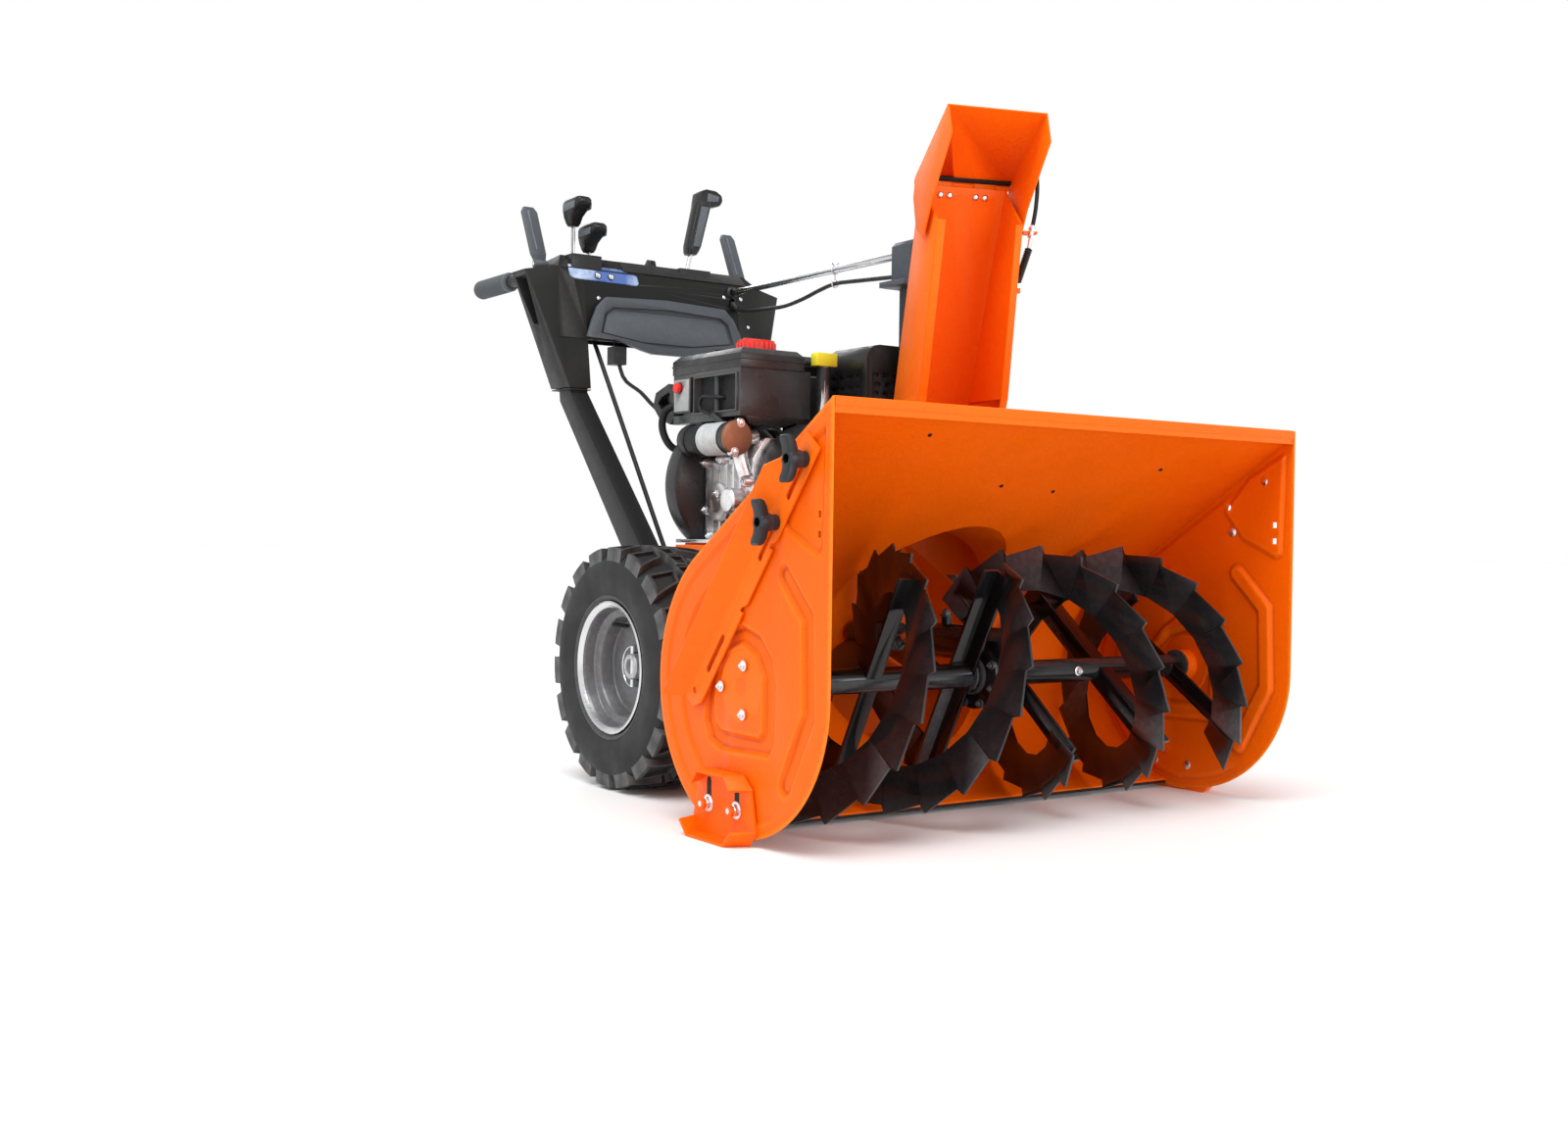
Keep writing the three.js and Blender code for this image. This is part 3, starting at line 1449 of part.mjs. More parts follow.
function buildCables() {
  for (const side of [-1, 1]) {
    const name = side < 0 ? "left" : "right";
    const x = side * 154;
    const control = cable(
      [
        [x, 1238, 846],
        [x, 1228, 816],
        [x, 1200, 776],
        [x, 1060, 576],
        [x, 945, 412],
        [x, 888, 336],
        [x, 856, 300],
      ],
      4.5,
      16,
    );
    piece(machine, `clutch_cable_${name}`, control, rubber);
  }
  const harness = join(
    cable(
      [
        [-104, 1234, 836],
        [-104, 1226, 806],
        [-104, 1212, 770],
        [-104, 1190, 738],
        [-102, 1124, 706],
        [-101, 1073, 675],
        [-100, 1024, 656],
        [-100, 962, 652],
        [-98, 922, 670],
        [-98, 886, 692],
      ],
      4,
      22,
    ),
    block([-118, 1206, 768], [-90, 1236, 804]),
  );
  piece(machine, "wiring_harness", harness, rubber);

  const control = cable(
    [
      [171, 1229, 924],
      [169.5, 1202, 906],
      [166, 1150, 895],
      [162, 1087, 891],
      [156, 1004, 887],
      [150, 928, 893],
      [146, 870, 902],
      [141, 813, 907],
      [134, 719, 901],
      [127, 626, 894],
      [125, 583, 891],
    ],
    4,
    28,
  );
  piece(machine, "deflector_cable", control, rubber);
}

// ---------------------------------------------------------------- the whole machine

buildHousing();
buildSkidShoes();
buildDrum();
buildAuger();
buildGearCase();
buildImpeller();
buildBeltDrive();
buildCrankshaft();
buildEngine();
buildTractorFrame();
buildWheels();
buildChute();
buildChuteRod();
buildHandlebars();
buildConsole();
buildLevers();
buildDriftCutters();
buildCables();

machine.position.set(0, -overallLength / 2, 0);
const snowblower = new THREE.Group();
snowblower.add(machine);

export default snowblower;
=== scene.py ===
"""The looks of a walk-behind two-stage snowblower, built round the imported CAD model.

Sizes in the making of each piece are millimetres, measured as in the part's own source: x across
the machine, y back from the front edge of the auger housing, z up from the ground.
"""

import json
import math
from contextlib import contextmanager

import bmesh
import bpy
import numpy as np
from mathutils import Matrix, Vector
from mathutils.geometry import delaunay_2d_cdt


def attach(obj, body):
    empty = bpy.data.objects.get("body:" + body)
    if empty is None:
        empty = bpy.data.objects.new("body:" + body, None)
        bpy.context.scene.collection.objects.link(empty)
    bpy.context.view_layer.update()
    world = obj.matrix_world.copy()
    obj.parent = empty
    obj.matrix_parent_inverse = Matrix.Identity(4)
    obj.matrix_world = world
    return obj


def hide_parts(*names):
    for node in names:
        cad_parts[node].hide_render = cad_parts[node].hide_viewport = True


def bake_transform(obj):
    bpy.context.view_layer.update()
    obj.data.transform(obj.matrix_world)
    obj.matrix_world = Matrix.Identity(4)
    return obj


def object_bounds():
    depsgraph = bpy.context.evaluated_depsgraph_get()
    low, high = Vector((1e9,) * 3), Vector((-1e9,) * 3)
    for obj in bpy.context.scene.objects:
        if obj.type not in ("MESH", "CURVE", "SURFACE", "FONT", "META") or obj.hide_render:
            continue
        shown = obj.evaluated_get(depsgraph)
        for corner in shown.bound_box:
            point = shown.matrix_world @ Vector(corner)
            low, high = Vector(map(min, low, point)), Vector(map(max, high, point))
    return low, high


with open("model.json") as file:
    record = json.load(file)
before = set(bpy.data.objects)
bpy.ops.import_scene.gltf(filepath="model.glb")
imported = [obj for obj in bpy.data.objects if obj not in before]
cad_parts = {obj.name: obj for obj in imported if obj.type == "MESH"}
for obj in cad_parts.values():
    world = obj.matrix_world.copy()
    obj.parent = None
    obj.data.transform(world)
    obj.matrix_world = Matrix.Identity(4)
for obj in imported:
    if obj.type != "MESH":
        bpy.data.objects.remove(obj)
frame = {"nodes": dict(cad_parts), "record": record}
cad_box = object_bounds()
nodes = frame["nodes"]
body_of = {node: body for body, group in frame["record"]["behaviour"]["bodies"].items() for node in group}

MM = 0.001
FRONT = cad_box[0][1]  # the housing's front edge in the frame, in metres

# Sizes that repeat the part's own.
PANEL_HALF = 457.0
PANEL_OUTER = 460.0
AUGER_Y = 210.0
AUGER_Z = 216.0
HOUSING_HEIGHT = 604.0
CHUTE_X = 88.0
CHUTE_Y = 453.0
CHUTE_TURN = math.radians(-18.5)
HINGE_Y = -108.0
HINGE_Z = 1002.0
WHEEL_X = 322.5
WHEEL_Y = 699.0
WHEEL_Z = 204.0
WHEEL_RADIUS = 204.0
CONSOLE_TOP_FRONT = 1223.0
CONSOLE_TOP_Z = 955.0
LEG_BEND_Y = 1188.0
LEG_BEND_Z = 705.0
AUGER_HUB = 36.0
SLEEVE_ENDS = (38.5, 425.0)
STARTER_X = -172.0
STARTER_Z = 594.0
STARTER_FRONT = 665.0
CRANK_X = -35.0
CRANK_Z = 525.0
CLUTCH_LEAN = 0.45
CLUTCH_X = 240.0
CLUTCH_Y = 1297.0
CLUTCH_Z = 967.0
SHELL_RADIUS = 214.0  # the round back of the housing, outside
SHOE_BOLT_YS = (204, 276)
SHOE_BOLT_Z = 46.0
GRIP_X = 250.0
GRIP_Z = 945.0
GRIP_END_Y = 1556.2
CABLE_X = 94.0  # how far beside the chute the deflector cable runs
BLOCK_LEFT = -142.0
BLOCK_FRONT = 656.0
FRAME_SIDE = 185.2

SIDE_NAMES = {-1: "left", 1: "right"}


def at(x, y, z):
    """A point of the machine, in the frame's metres."""
    return Vector((x * MM, y * MM + FRONT, z * MM))


def chute_at(x, y, z):
    """A point of the chute, measured from its turning axis with +y to its back wall."""
    turned = Matrix.Rotation(CHUTE_TURN, 3, "Z") @ Vector((x, y, 0))
    return at(CHUTE_X + turned.x, CHUTE_Y + turned.y, z)


def console_front(z):
    """How far back the console's front face lies at that height."""
    lean = (CONSOLE_TOP_FRONT - LEG_BEND_Y) / (CONSOLE_TOP_Z - LEG_BEND_Z)
    return LEG_BEND_Y + (z - LEG_BEND_Z) * lean


# ---------------------------------------------------------------- camera, light and floor


def placed(name, data):
    """An object made of that data, linked into the scene."""
    made = bpy.data.objects.new(name, data)
    bpy.context.scene.collection.objects.link(made)
    return made


def place_camera():
    """The fitted camera: its place on the machine's own scale, and its turn from yaw, pitch and roll."""
    data = bpy.data.cameras.new("camera")
    data.sensor_width = 36.0
    data.lens = 36.48
    data.clip_end = 60
    camera = placed("camera", data)
    yaw = math.radians(34.75)
    pitch = math.radians(1.03)
    roll = math.radians(0.78)
    ahead = Vector((math.sin(yaw) * math.cos(pitch), math.cos(yaw) * math.cos(pitch), -math.sin(pitch)))
    level = Vector((math.cos(yaw), -math.sin(yaw), 0))
    over = level.cross(ahead)
    right = level * math.cos(roll) + over * math.sin(roll)
    up = -level * math.sin(roll) + over * math.cos(roll)
    turn = Matrix((right, up, -ahead)).transposed().to_4x4()
    camera.matrix_world = Matrix.Translation(at(-1660.4, -1626.5, 422.6)) @ turn
    bpy.context.scene.camera = camera


def area_light(name, place, target, size, power):
    data = bpy.data.lights.new(name, "AREA")
    data.shape = "RECTANGLE"
    data.size, data.size_y = size
    data.energy = power
    light = placed(name, data)
    light.location = place
    light.rotation_euler = (Vector(target) - Vector(place)).to_track_quat("-Z", "Y").to_euler()


def overhead_light(towards, spread, power):
    """A wide sun, which stands for the studio's ceiling."""
    data = bpy.data.lights.new("overhead", "SUN")
    data.energy = power
    data.angle = math.radians(spread)
    sun = placed("overhead", data)
    sun.rotation_euler = Vector(towards).to_track_quat("-Z", "Y").to_euler()


def white_surroundings():
    """A white world that is darker overhead than at the horizon."""
    world = bpy.data.worlds.new("studio")
    world.use_nodes = True
    tree = world.node_tree
    place = tree.nodes.new("ShaderNodeTexCoord")
    split = tree.nodes.new("ShaderNodeSeparateXYZ")
    fade = tree.nodes.new("ShaderNodeMapRange")
    for socket, value in (("From Min", 0.35), ("From Max", 0.8), ("To Min", 1.0), ("To Max", 0.3)):
        fade.inputs[socket].default_value = value
    sky = tree.nodes["Background"]
    sky.inputs["Color"].default_value = (1, 1, 1, 1)
    tree.links.new(place.outputs["Generated"], split.inputs["Vector"])
    tree.links.new(split.outputs["Z"], fade.inputs["Value"])
    tree.links.new(fade.outputs["Result"], sky.inputs["Strength"])
    bpy.context.scene.world = world


def lay_floor(reach):
    mesh = bpy.data.meshes.new("floor")
    corners = [(-reach, -reach, 0), (reach, -reach, 0), (reach, reach, 0), (-reach, reach, 0)]
    mesh.from_pydata(corners, [], [(0, 1, 2, 3)])
    floor = placed("floor", mesh)
    mesh.materials.append(floor_material())


def floor_material():
    look = bpy.data.materials.new("studio_floor")
    look.use_nodes = True
    shader = look.node_tree.nodes["Principled BSDF"]
    shader.inputs["Base Color"].default_value = (0.93, 0.93, 0.93, 1)
    shader.inputs["Roughness"].default_value = 0.7
    shader.inputs["Specular IOR Level"].default_value = 0.2
    return look


def light_the_studio():
    """Plain soft light from the left, the front, behind and above, over a pale floor."""
    bpy.context.scene.view_settings.view_transform = "Standard"
    white_surroundings()
    area_light("key", (-3.6, -1.2, 3.4), (0, 0, 0.4), (1.5, 1.5), 35)
    area_light("front", (0.3, -4.5, 1.2), (0, -0.4, 0.3), (2.2, 1.4), 45)
    area_light("rear", (1.0, 3.6, 3.0), (0, 0.3, 0.7), (2.2, 1.4), 30)
    overhead_light((0.35, 0.25, -1.0), 35, 2.0)
    lay_floor(40.0)


# ---------------------------------------------------------------- materials


class Look:
    """A procedural material that is put together from layers of noise."""

    def __init__(self, name, color, roughness, metallic=0.0):
        self.material = bpy.data.materials.new(name)
        self.material.use_nodes = True
        self.tree = self.material.node_tree
        self.shader = self.tree.nodes["Principled BSDF"]
        self.shader.inputs["Metallic"].default_value = metallic
        self.color = color
        self.roughness = roughness
        self.place = self.node("ShaderNodeTexCoord").outputs["Object"]
        self.color_out = None
        self.height_out = None
        self.material.diffuse_color = (*color, 1)

    def node(self, kind, **settings):
        made = self.tree.nodes.new(kind)
        for key, value in settings.items():
            setattr(made, key, value)
        return made

    def link(self, source, target):
        self.tree.links.new(source, target)

    def noise(self, scale, detail=4.0, stretch=None):
        texture = self.node("ShaderNodeTexNoise")
        texture.inputs["Scale"].default_value = scale
        texture.inputs["Detail"].default_value = detail
        source = self.place
        if stretch:
            mapping = self.node("ShaderNodeMapping")
            mapping.inputs["Scale"].default_value = stretch
            self.link(source, mapping.inputs["Vector"])
            source = mapping.outputs["Vector"]
        self.link(source, texture.inputs["Vector"])
        return texture.outputs["Fac"]

    def cells(self, scale):
        texture = self.node("ShaderNodeTexVoronoi")
        texture.inputs["Scale"].default_value = scale
        self.link(self.place, texture.inputs["Vector"])
        return texture.outputs["Distance"]

    def ramp(self, source, low, high, at_low, at_high):
        remap = self.node("ShaderNodeMapRange")
        for socket, value in (("From Min", low), ("From Max", high), ("To Min", at_low), ("To Max", at_high)):
            remap.inputs[socket].default_value = value
        self.link(source, remap.inputs["Value"])
        return remap.outputs["Result"]

    def tint(self, share, color):
        """Lays a colour over what is there, as much as the share says."""
        mix = self.node("ShaderNodeMix", data_type="RGBA")
        self.link(share, mix.inputs[0])
        if self.color_out is None:
            mix.inputs[6].default_value = (*self.color, 1)
        else:
            self.link(self.color_out, mix.inputs[6])
        mix.inputs[7].default_value = (*color, 1)
        self.color_out = mix.outputs[2]

    def gloss(self, share, low, high):
        """Varies the roughness between two values."""
        self.link(self.ramp(share, 0.3, 0.7, low, high), self.shader.inputs["Roughness"])

    def bump(self, height, distance, strength=1.0):
        made = self.node("ShaderNodeBump")
        made.inputs["Distance"].default_value = distance
        made.inputs["Strength"].default_value = strength
        self.link(height, made.inputs["Height"])
        if self.height_out is not None:
            self.link(self.height_out, made.inputs["Normal"])
        self.height_out = made.outputs["Normal"]

    def edges(self, color, amount=0.6, start=0.53, full=0.62):
        """Painted highlight: a lighter colour, in patches, where the surface turns sharply outwards."""
        pointed = self.node("ShaderNodeNewGeometry").outputs["Pointiness"]
        edge_highlight = self.ramp(pointed, start, full, 0.0, amount)
        patchy = self.ramp(self.noise(90), 0.42, 0.62, 0.75, 1.0)
        product = self.node("ShaderNodeMath", operation="MULTIPLY")
        self.link(edge_highlight, product.inputs[0])
        self.link(patchy, product.inputs[1])
        self.tint(product.outputs[0], color)

    def painted_crease_shade(self, color, amount):
        """Painted shade: a deeper colour where the surface turns sharply inwards."""
        pointed = self.node("ShaderNodeNewGeometry").outputs["Pointiness"]
        self.tint(self.ramp(pointed, 0.44, 0.495, amount, 0.0), color)

    def done(self):
        self.shader.inputs["Base Color"].default_value = (*self.color, 1)
        if self.color_out is not None:
            self.link(self.color_out, self.shader.inputs["Base Color"])
        if not self.shader.inputs["Roughness"].is_linked:
            self.shader.inputs["Roughness"].default_value = self.roughness
        if self.height_out is not None:
            self.link(self.height_out, self.shader.inputs["Normal"])
        return self.material


def powder_coat(name, color, deep, pale, grain, roughness, specular=0.5, pressed=False):
    """Sprayed and baked paint with an orange-peel surface."""
    look = Look(name, color, roughness)
    look.tint(look.ramp(look.noise(3.2, 2), 0.35, 0.7, 0.0, 0.35), deep)
    look.tint(look.ramp(look.noise(55, 6), 0.55, 0.8, 0.0, 0.10), pale)
    # Painted highlight on the outward edges, stronger on pressed panels, where painted shade also deepens the
    # creases.
    if pressed:
        look.edges(pale, 0.8, 0.508, 0.55)
        look.painted_crease_shade(tuple(c * 0.35 for c in deep), 0.9)
    else:
        look.edges(pale, 0.3)
    look.gloss(look.noise(14, 3), roughness - 0.06, roughness + 0.08)
    look.bump(look.noise(grain, 2), 0.0011, 0.6)
    look.bump(look.noise(grain * 5, 2), 0.0002, 0.3)
    look.shader.inputs["Specular IOR Level"].default_value = specular
    return look.done()


def moulded_plastic(name, color, pale, roughness, specular=0.35):
    """Injection-moulded plastic with a fine spark-eroded grain."""
    look = Look(name, color, roughness)
    look.tint(look.ramp(look.noise(5, 3), 0.4, 0.75, 0.0, 0.4), pale)
    # Painted highlight: a paler tint on the outward edges.
    look.edges(tuple(min(1, c * 3.0 + 0.03) for c in pale), 0.6)
    look.gloss(look.noise(30, 3), roughness - 0.08, roughness + 0.1)
    look.bump(look.noise(1500, 2), 0.0002, 0.35)
    look.bump(look.noise(18, 2), 0.0005, 0.15)
    look.shader.inputs["Specular IOR Level"].default_value = specular
    return look.done()


def gloss_black_paint():
    look = Look("gloss_black_paint", (0.004, 0.0042, 0.005), 0.16)
    look.tint(look.ramp(look.noise(9, 5), 0.45, 0.8, 0.0, 0.2), (0.016, 0.010, 0.008))
    # Painted highlight: grey on the outward edges.
    look.edges((0.14, 0.14, 0.15), 0.6)
    look.gloss(look.noise(12, 4), 0.08, 0.26)
    look.bump(look.noise(300, 2), 0.0002, 0.2)
    look.shader.inputs["Specular IOR Level"].default_value = 0.45
    return look.done()


def cast_metal():
    look = Look("cast_aluminium", (0.86, 0.86, 0.87), 0.3, 0.92)
    look.tint(look.ramp(look.noise(9, 4), 0.46, 0.62, 0.0, 0.9), (0.13, 0.10, 0.085))
    look.tint(look.ramp(look.noise(160, 3), 0.5, 0.75, 0.0, 0.4), (0.40, 0.36, 0.34))
    # Painted highlight: near-white on the outward edges.
    look.edges((0.98, 0.98, 0.98), 0.8)
    look.gloss(look.noise(60, 4), 0.2, 0.48)
    look.bump(look.noise(38, 3), 0.002, 0.35)
    look.bump(look.noise(420, 3), 0.0005, 0.5)
    return look.done()


def bright_metal(name, color, roughness, brushed):
    look = Look(name, color, roughness, 1.0)
    look.tint(look.ramp(look.noise(20, 4), 0.5, 0.8, 0.0, 0.4), tuple(c * 0.55 for c in color))
    look.gloss(look.noise(50, 4, brushed), roughness - 0.06, roughness + 0.14)
    look.bump(look.noise(700, 2, brushed), 0.0001, 0.3)
    return look.done()


def tyre_rubber():
    look = Look("tyre_rubber", (0.015, 0.0155, 0.016), 0.62)
    look.tint(look.ramp(look.noise(7, 4), 0.4, 0.7, 0.0, 0.5), (0.025, 0.025, 0.026))
    # Painted highlight: grey on the outward edges of the lugs.
    look.edges((0.16, 0.16, 0.16), 0.7)
    look.gloss(look.noise(22, 3), 0.55, 0.78)
    look.bump(look.noise(900, 3), 0.0003, 0.5)
    look.bump(look.noise(60, 3), 0.0004, 0.2)
    look.shader.inputs["Specular IOR Level"].default_value = 0.4
    return look.done()


def rim_paint():
    look = Look("rim_paint", (0.17, 0.17, 0.175), 0.42, 0.55)
    look.tint(look.ramp(look.noise(120, 5), 0.45, 0.7, 0.0, 0.45), (0.26, 0.26, 0.265))
    # Painted highlight: pale grey on the outward edges.
    look.edges((0.85, 0.85, 0.86), 0.9)
    look.gloss(look.noise(40, 3), 0.3, 0.5)
    look.bump(look.noise(520, 2), 0.0003, 0.35)
    return look.done()


def headlight_lens():
    look = Look("headlight_lens", (0.05, 0.14, 0.48), 0.08)
    # Painted reflection: pale blue-white patches in the lens's colour.
    look.tint(look.ramp(look.noise(14, 2), 0.42, 0.62, 0.0, 0.85), (0.62, 0.78, 0.98))
    look.tint(look.ramp(look.cells(70), 0.0, 0.5, 0.5, 0.0), (0.06, 0.12, 0.34))
    look.gloss(look.noise(60, 2), 0.05, 0.16)
    look.bump(look.cells(110), 0.0008, 0.5)
    look.shader.inputs["Coat Weight"].default_value = 1.0
    look.shader.inputs["Coat Roughness"].default_value = 0.03
    return look.done()


ORANGE = ((0.93, 0.132, 0.0), (0.86, 0.104, 0.0), (0.98, 0.23, 0.012))
ENGINE_BLACK = (0.008, 0.0085, 0.009)
LOOKS = {
    "orange": powder_coat("orange_powder_coat", *ORANGE, 230, 0.4, 0.16),
    "pressed_orange": powder_coat("orange_pressed_panel", *ORANGE, 230, 0.4, 0.16, True),
    "black": gloss_black_paint(),
    "leg": powder_coat(
        "leg_paint", (0.010, 0.010, 0.0105), (0.007, 0.007, 0.0075), (0.05, 0.05, 0.05), 420, 0.42, 0.3
    ),
    "guard": moulded_plastic("guard_paint", ENGINE_BLACK, (0.014, 0.015, 0.016), 0.34),
    "plastic": moulded_plastic("charcoal_plastic", (0.010, 0.0105, 0.010), (0.015, 0.015, 0.015), 0.5, 0.25),
    "engine_plastic": moulded_plastic("engine_plastic", ENGINE_BLACK, (0.016, 0.016, 0.017), 0.3, 0.4),
    "box_side": moulded_plastic("box_side_plastic", (0.045, 0.046, 0.048), (0.056, 0.057, 0.060), 0.28, 0.45),
    "panel": moulded_plastic("engine_panel", (0.20, 0.205, 0.21), (0.27, 0.28, 0.28), 0.46),
    "slate": moulded_plastic("slate_plastic", (0.062, 0.072, 0.082), (0.082, 0.092, 0.102), 0.5),
    "slate_dark": moulded_plastic("knob_plastic", (0.010, 0.013, 0.016), (0.018, 0.023, 0.028), 0.4),
    "post": moulded_plastic("post_plastic", (0.030, 0.042, 0.052), (0.050, 0.062, 0.074), 0.42),
    "casting": cast_metal(),
    "copper": bright_metal("starter_cap_metal", (0.32, 0.16, 0.095), 0.48, (1, 1, 1)),
    "steel": bright_metal("plated_steel", (0.70, 0.70, 0.71), 0.2, (1, 1, 8)),
    "zinc": bright_metal("zinc_bolt", (0.78, 0.79, 0.82), 0.26, (1, 1, 1)),
    "rim": rim_paint(),
    "tyre": tyre_rubber(),
    "rubber": moulded_plastic("cable_rubber", (0.007, 0.007, 0.0075), (0.012, 0.012, 0.0125), 0.45, 0.3),
    "red": moulded_plastic("red_plastic", (0.72, 0.012, 0.008), (0.80, 0.03, 0.02), 0.3),
    "yellow": moulded_plastic("yellow_plastic", (0.92, 0.84, 0.004), (0.96, 0.90, 0.05), 0.34),
    "lens": headlight_lens(),
    # Near-black plastic for dark parts such as screws and lamp rings, and as painted shade in slots, gaps,
    # recesses and holes.
    "dark": moulded_plastic("near_black_and_painted_shade", (0.003, 0.003, 0.0032), (0.005, 0.005, 0.0052), 0.6, 0.15),
}


# ---------------------------------------------------------------- making pieces


def mesh_object(name, points, faces):
    mesh = bpy.data.meshes.new(name)
    mesh.from_pydata([tuple(p) for p in points], [], faces)
    mesh.validate()
    return placed(name, mesh)


def discard(obj):
    mesh = obj.data
    bpy.data.objects.remove(obj)
    bpy.data.meshes.remove(mesh)


@contextmanager
def editing(obj):
    """Opens an object's mesh for changes and writes them back."""
    work = bmesh.new()
    work.from_mesh(obj.data)
    yield work
    work.to_mesh(obj.data)
    work.free()


def outwards(obj):
    """Turns every face of a closed mesh outwards."""
    with editing(obj) as work:
        bmesh.ops.recalc_face_normals(work, faces=work.faces)
    return obj


def apply_modifiers(obj):
    """Turns what the object's modifiers make into its own mesh."""
    depsgraph = bpy.context.evaluated_depsgraph_get()
    changed = bpy.data.meshes.new_from_object(obj.evaluated_get(depsgraph))
    obj.modifiers.clear()
    previous = obj.data
    obj.data = changed
    bpy.data.meshes.remove(previous)


def bevelled(obj, width, segments=2, angle=30):
    """Rounds the edges that are sharper than that angle."""
    bevel = obj.modifiers.new("bevel", "BEVEL")
    bevel.width = width * MM
    bevel.segments = segments
    bevel.limit_method = "ANGLE"
    bevel.angle_limit = math.radians(angle)
    bevel.use_clamp_overlap = True
    bevel.miter_outer = "MITER_ARC"
    bevel.harden_normals = False
    apply_modifiers(obj)
    return obj


def finished(obj, look, body, smooth=38):
    """Gives a piece its material, shading and the body it rides on."""
    obj.data.materials.clear()
    obj.data.materials.append(LOOKS[look])
    for polygon in obj.data.polygons:
        polygon.material_index = 0
    obj.data.shade_smooth()
    obj.data.set_sharp_from_angle(angle=math.radians(smooth))
    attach(obj, body)
    return obj


def joined(name, objects):
    """One object from several closed meshes."""
    work = bmesh.new()
    for obj in objects:
        obj.data.transform(obj.matrix_world)
        work.from_mesh(obj.data)
        discard(obj)
    mesh = bpy.data.meshes.new(name)
    work.to_mesh(mesh)
    work.free()
    return placed(name, mesh)


def one_piece(name, parts, look="zinc", body="machine"):
    """Several closed meshes as one finished piece with crisp edges."""
    return finished(joined(name, parts), look, body, 30)


def copy_of(node):
    """A copy of a CAD node's mesh with its flat faces made whole again."""
    mesh = nodes[node].data.copy()
    work = bmesh.new()
    work.from_mesh(mesh)
    bmesh.ops.remove_doubles(work, verts=work.verts, dist=2e-5)
    bmesh.ops.dissolve_limit(work, angle_limit=math.radians(0.8), verts=work.verts, edges=work.edges)
    work.to_mesh(mesh)
    work.free()
    return placed(node + "_shown", mesh)


def cut_by(obj, tool):
    """Takes the tool's shape out of the object."""
    boolean = obj.modifiers.new("cut", "BOOLEAN")
    boolean.operation = "DIFFERENCE"
    boolean.solver = "EXACT"
    boolean.object = tool
    apply_modifiers(obj)
    discard(tool)
    return obj


def triangulated(obj):
    """Splits the faces into triangles, because a flat face round a hole doesn't bevel cleanly."""
    with editing(obj) as work:
        bmesh.ops.triangulate(work, faces=work.faces)
    return obj


def shown(node, look, bevel=1.0, smooth=38):
    """The CAD node itself, with rounded edges and its material."""
    piece = copy_of(node)
    if bevel:
        bevelled(piece, bevel)
    finished(piece, look, body_of[node], smooth)
    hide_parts(node)


def prism(name, outline, axis, low, high, place=at):
    """An outline pushed along an axis: [y, z] points along x, [x, z] along y, or [x, y] along z."""

    def point(u, v, w):
        if axis == "x":
            return place(w, u, v)
        return place(u, w, v) if axis == "y" else place(u, v, w)

    count = len(outline)
    points = [point(u, v, low) for u, v in outline] + [point(u, v, high) for u, v in outline]
    faces = [tuple(range(count)), tuple(range(2 * count - 1, count - 1, -1))]
    faces += [(k, k + count, (k + 1) % count + count, (k + 1) % count) for k in range(count)]
    return outwards(mesh_object(name, points, faces))


def box(name, low, high, place=at):
    outline = [(low[0], low[1]), (high[0], low[1]), (high[0], high[1]), (low[0], high[1])]
    return prism(name, outline, "z", low[2], high[2], place)


def turns_round(steps, start=0.0):
    """Equal turns all the way round, in radians."""
    return [start + 2 * math.pi * k / steps for k in range(steps)]


def ring_points(centre, radius, steps):
    return [(centre[0] + radius * math.cos(t), centre[1] + radius * math.sin(t)) for t in turns_round(steps)]


def ring_faces(rows, count, closed=False):
    """The faces between rings of points, with the two ends covered unless the rings close on themselves."""
    faces = []
    for row in range(rows if closed else rows - 1):
        here, there = row * count, (row + 1) % rows * count
        for k in range(count):
            after = (k + 1) % count
            faces.append((here + k, here + after, there + after, there + k))
    if not closed:
        faces.append(tuple(range(count)))
        faces.append(tuple(range(rows * count - 1, (rows - 1) * count - 1, -1)))
    return faces


def lathe(name, profile, origin, axis, steps=48, closed=False):
    """A turned piece: the profile's (along, radius) points go round the axis through the origin."""
    axis = Vector(axis).normalized()
    side = axis.orthogonal().normalized()
    other = axis.cross(side)
    points = []
    for along, radius in profile:
        for turn in turns_round(steps):
            spoke = side * math.cos(turn) + other * math.sin(turn)
            points.append(origin + (axis * along + spoke * radius) * MM)
    made = mesh_object(name, points, ring_faces(len(profile), steps, closed))
    with editing(made) as work:
        bmesh.ops.remove_doubles(work, verts=work.verts, dist=1e-6)
        bmesh.ops.recalc_face_normals(work, faces=work.faces)
    return made


def smooth_line(points, steps):
    """Points along a Catmull-Rom curve through the given ones."""
    ends = [points[0] * 2 - points[1], *points, points[-1] * 2 - points[-2]]
    line = []
    for before, start, end, after in zip(ends, ends[1:], ends[2:], ends[3:]):
        for k in range(steps):
            t = k / steps
            first = (end - before) * t
            second = (2 * before - 5 * start + 4 * end - after) * t * t
            third = (3 * start - before - 3 * end + after) * t * t * t
            line.append(0.5 * (2 * start + first + second + third))
    line.append(points[-1].copy())
    return line


def tube(name, points, radius, sides=12, radii=None):
    """A closed round tube along a line of points, with a radius at each if given."""
    count = len(points)
    sizes = radii or [radius] * count
    ahead = (points[1] - points[0]).normalized()
    across = ahead.orthogonal().normalized()
    ring = []
    for i, point in enumerate(points):
        forward = (points[min(i + 1, count - 1)] - points[max(i - 1, 0)]).normalized()
        across = (across - forward * across.dot(forward)).normalized()
        other = forward.cross(across)
        for turn in turns_round(sides):
            ring.append(point + (across * math.cos(turn) + other * math.sin(turn)) * sizes[i] * MM)
    return outwards(mesh_object(name, ring, ring_faces(count, sides)))


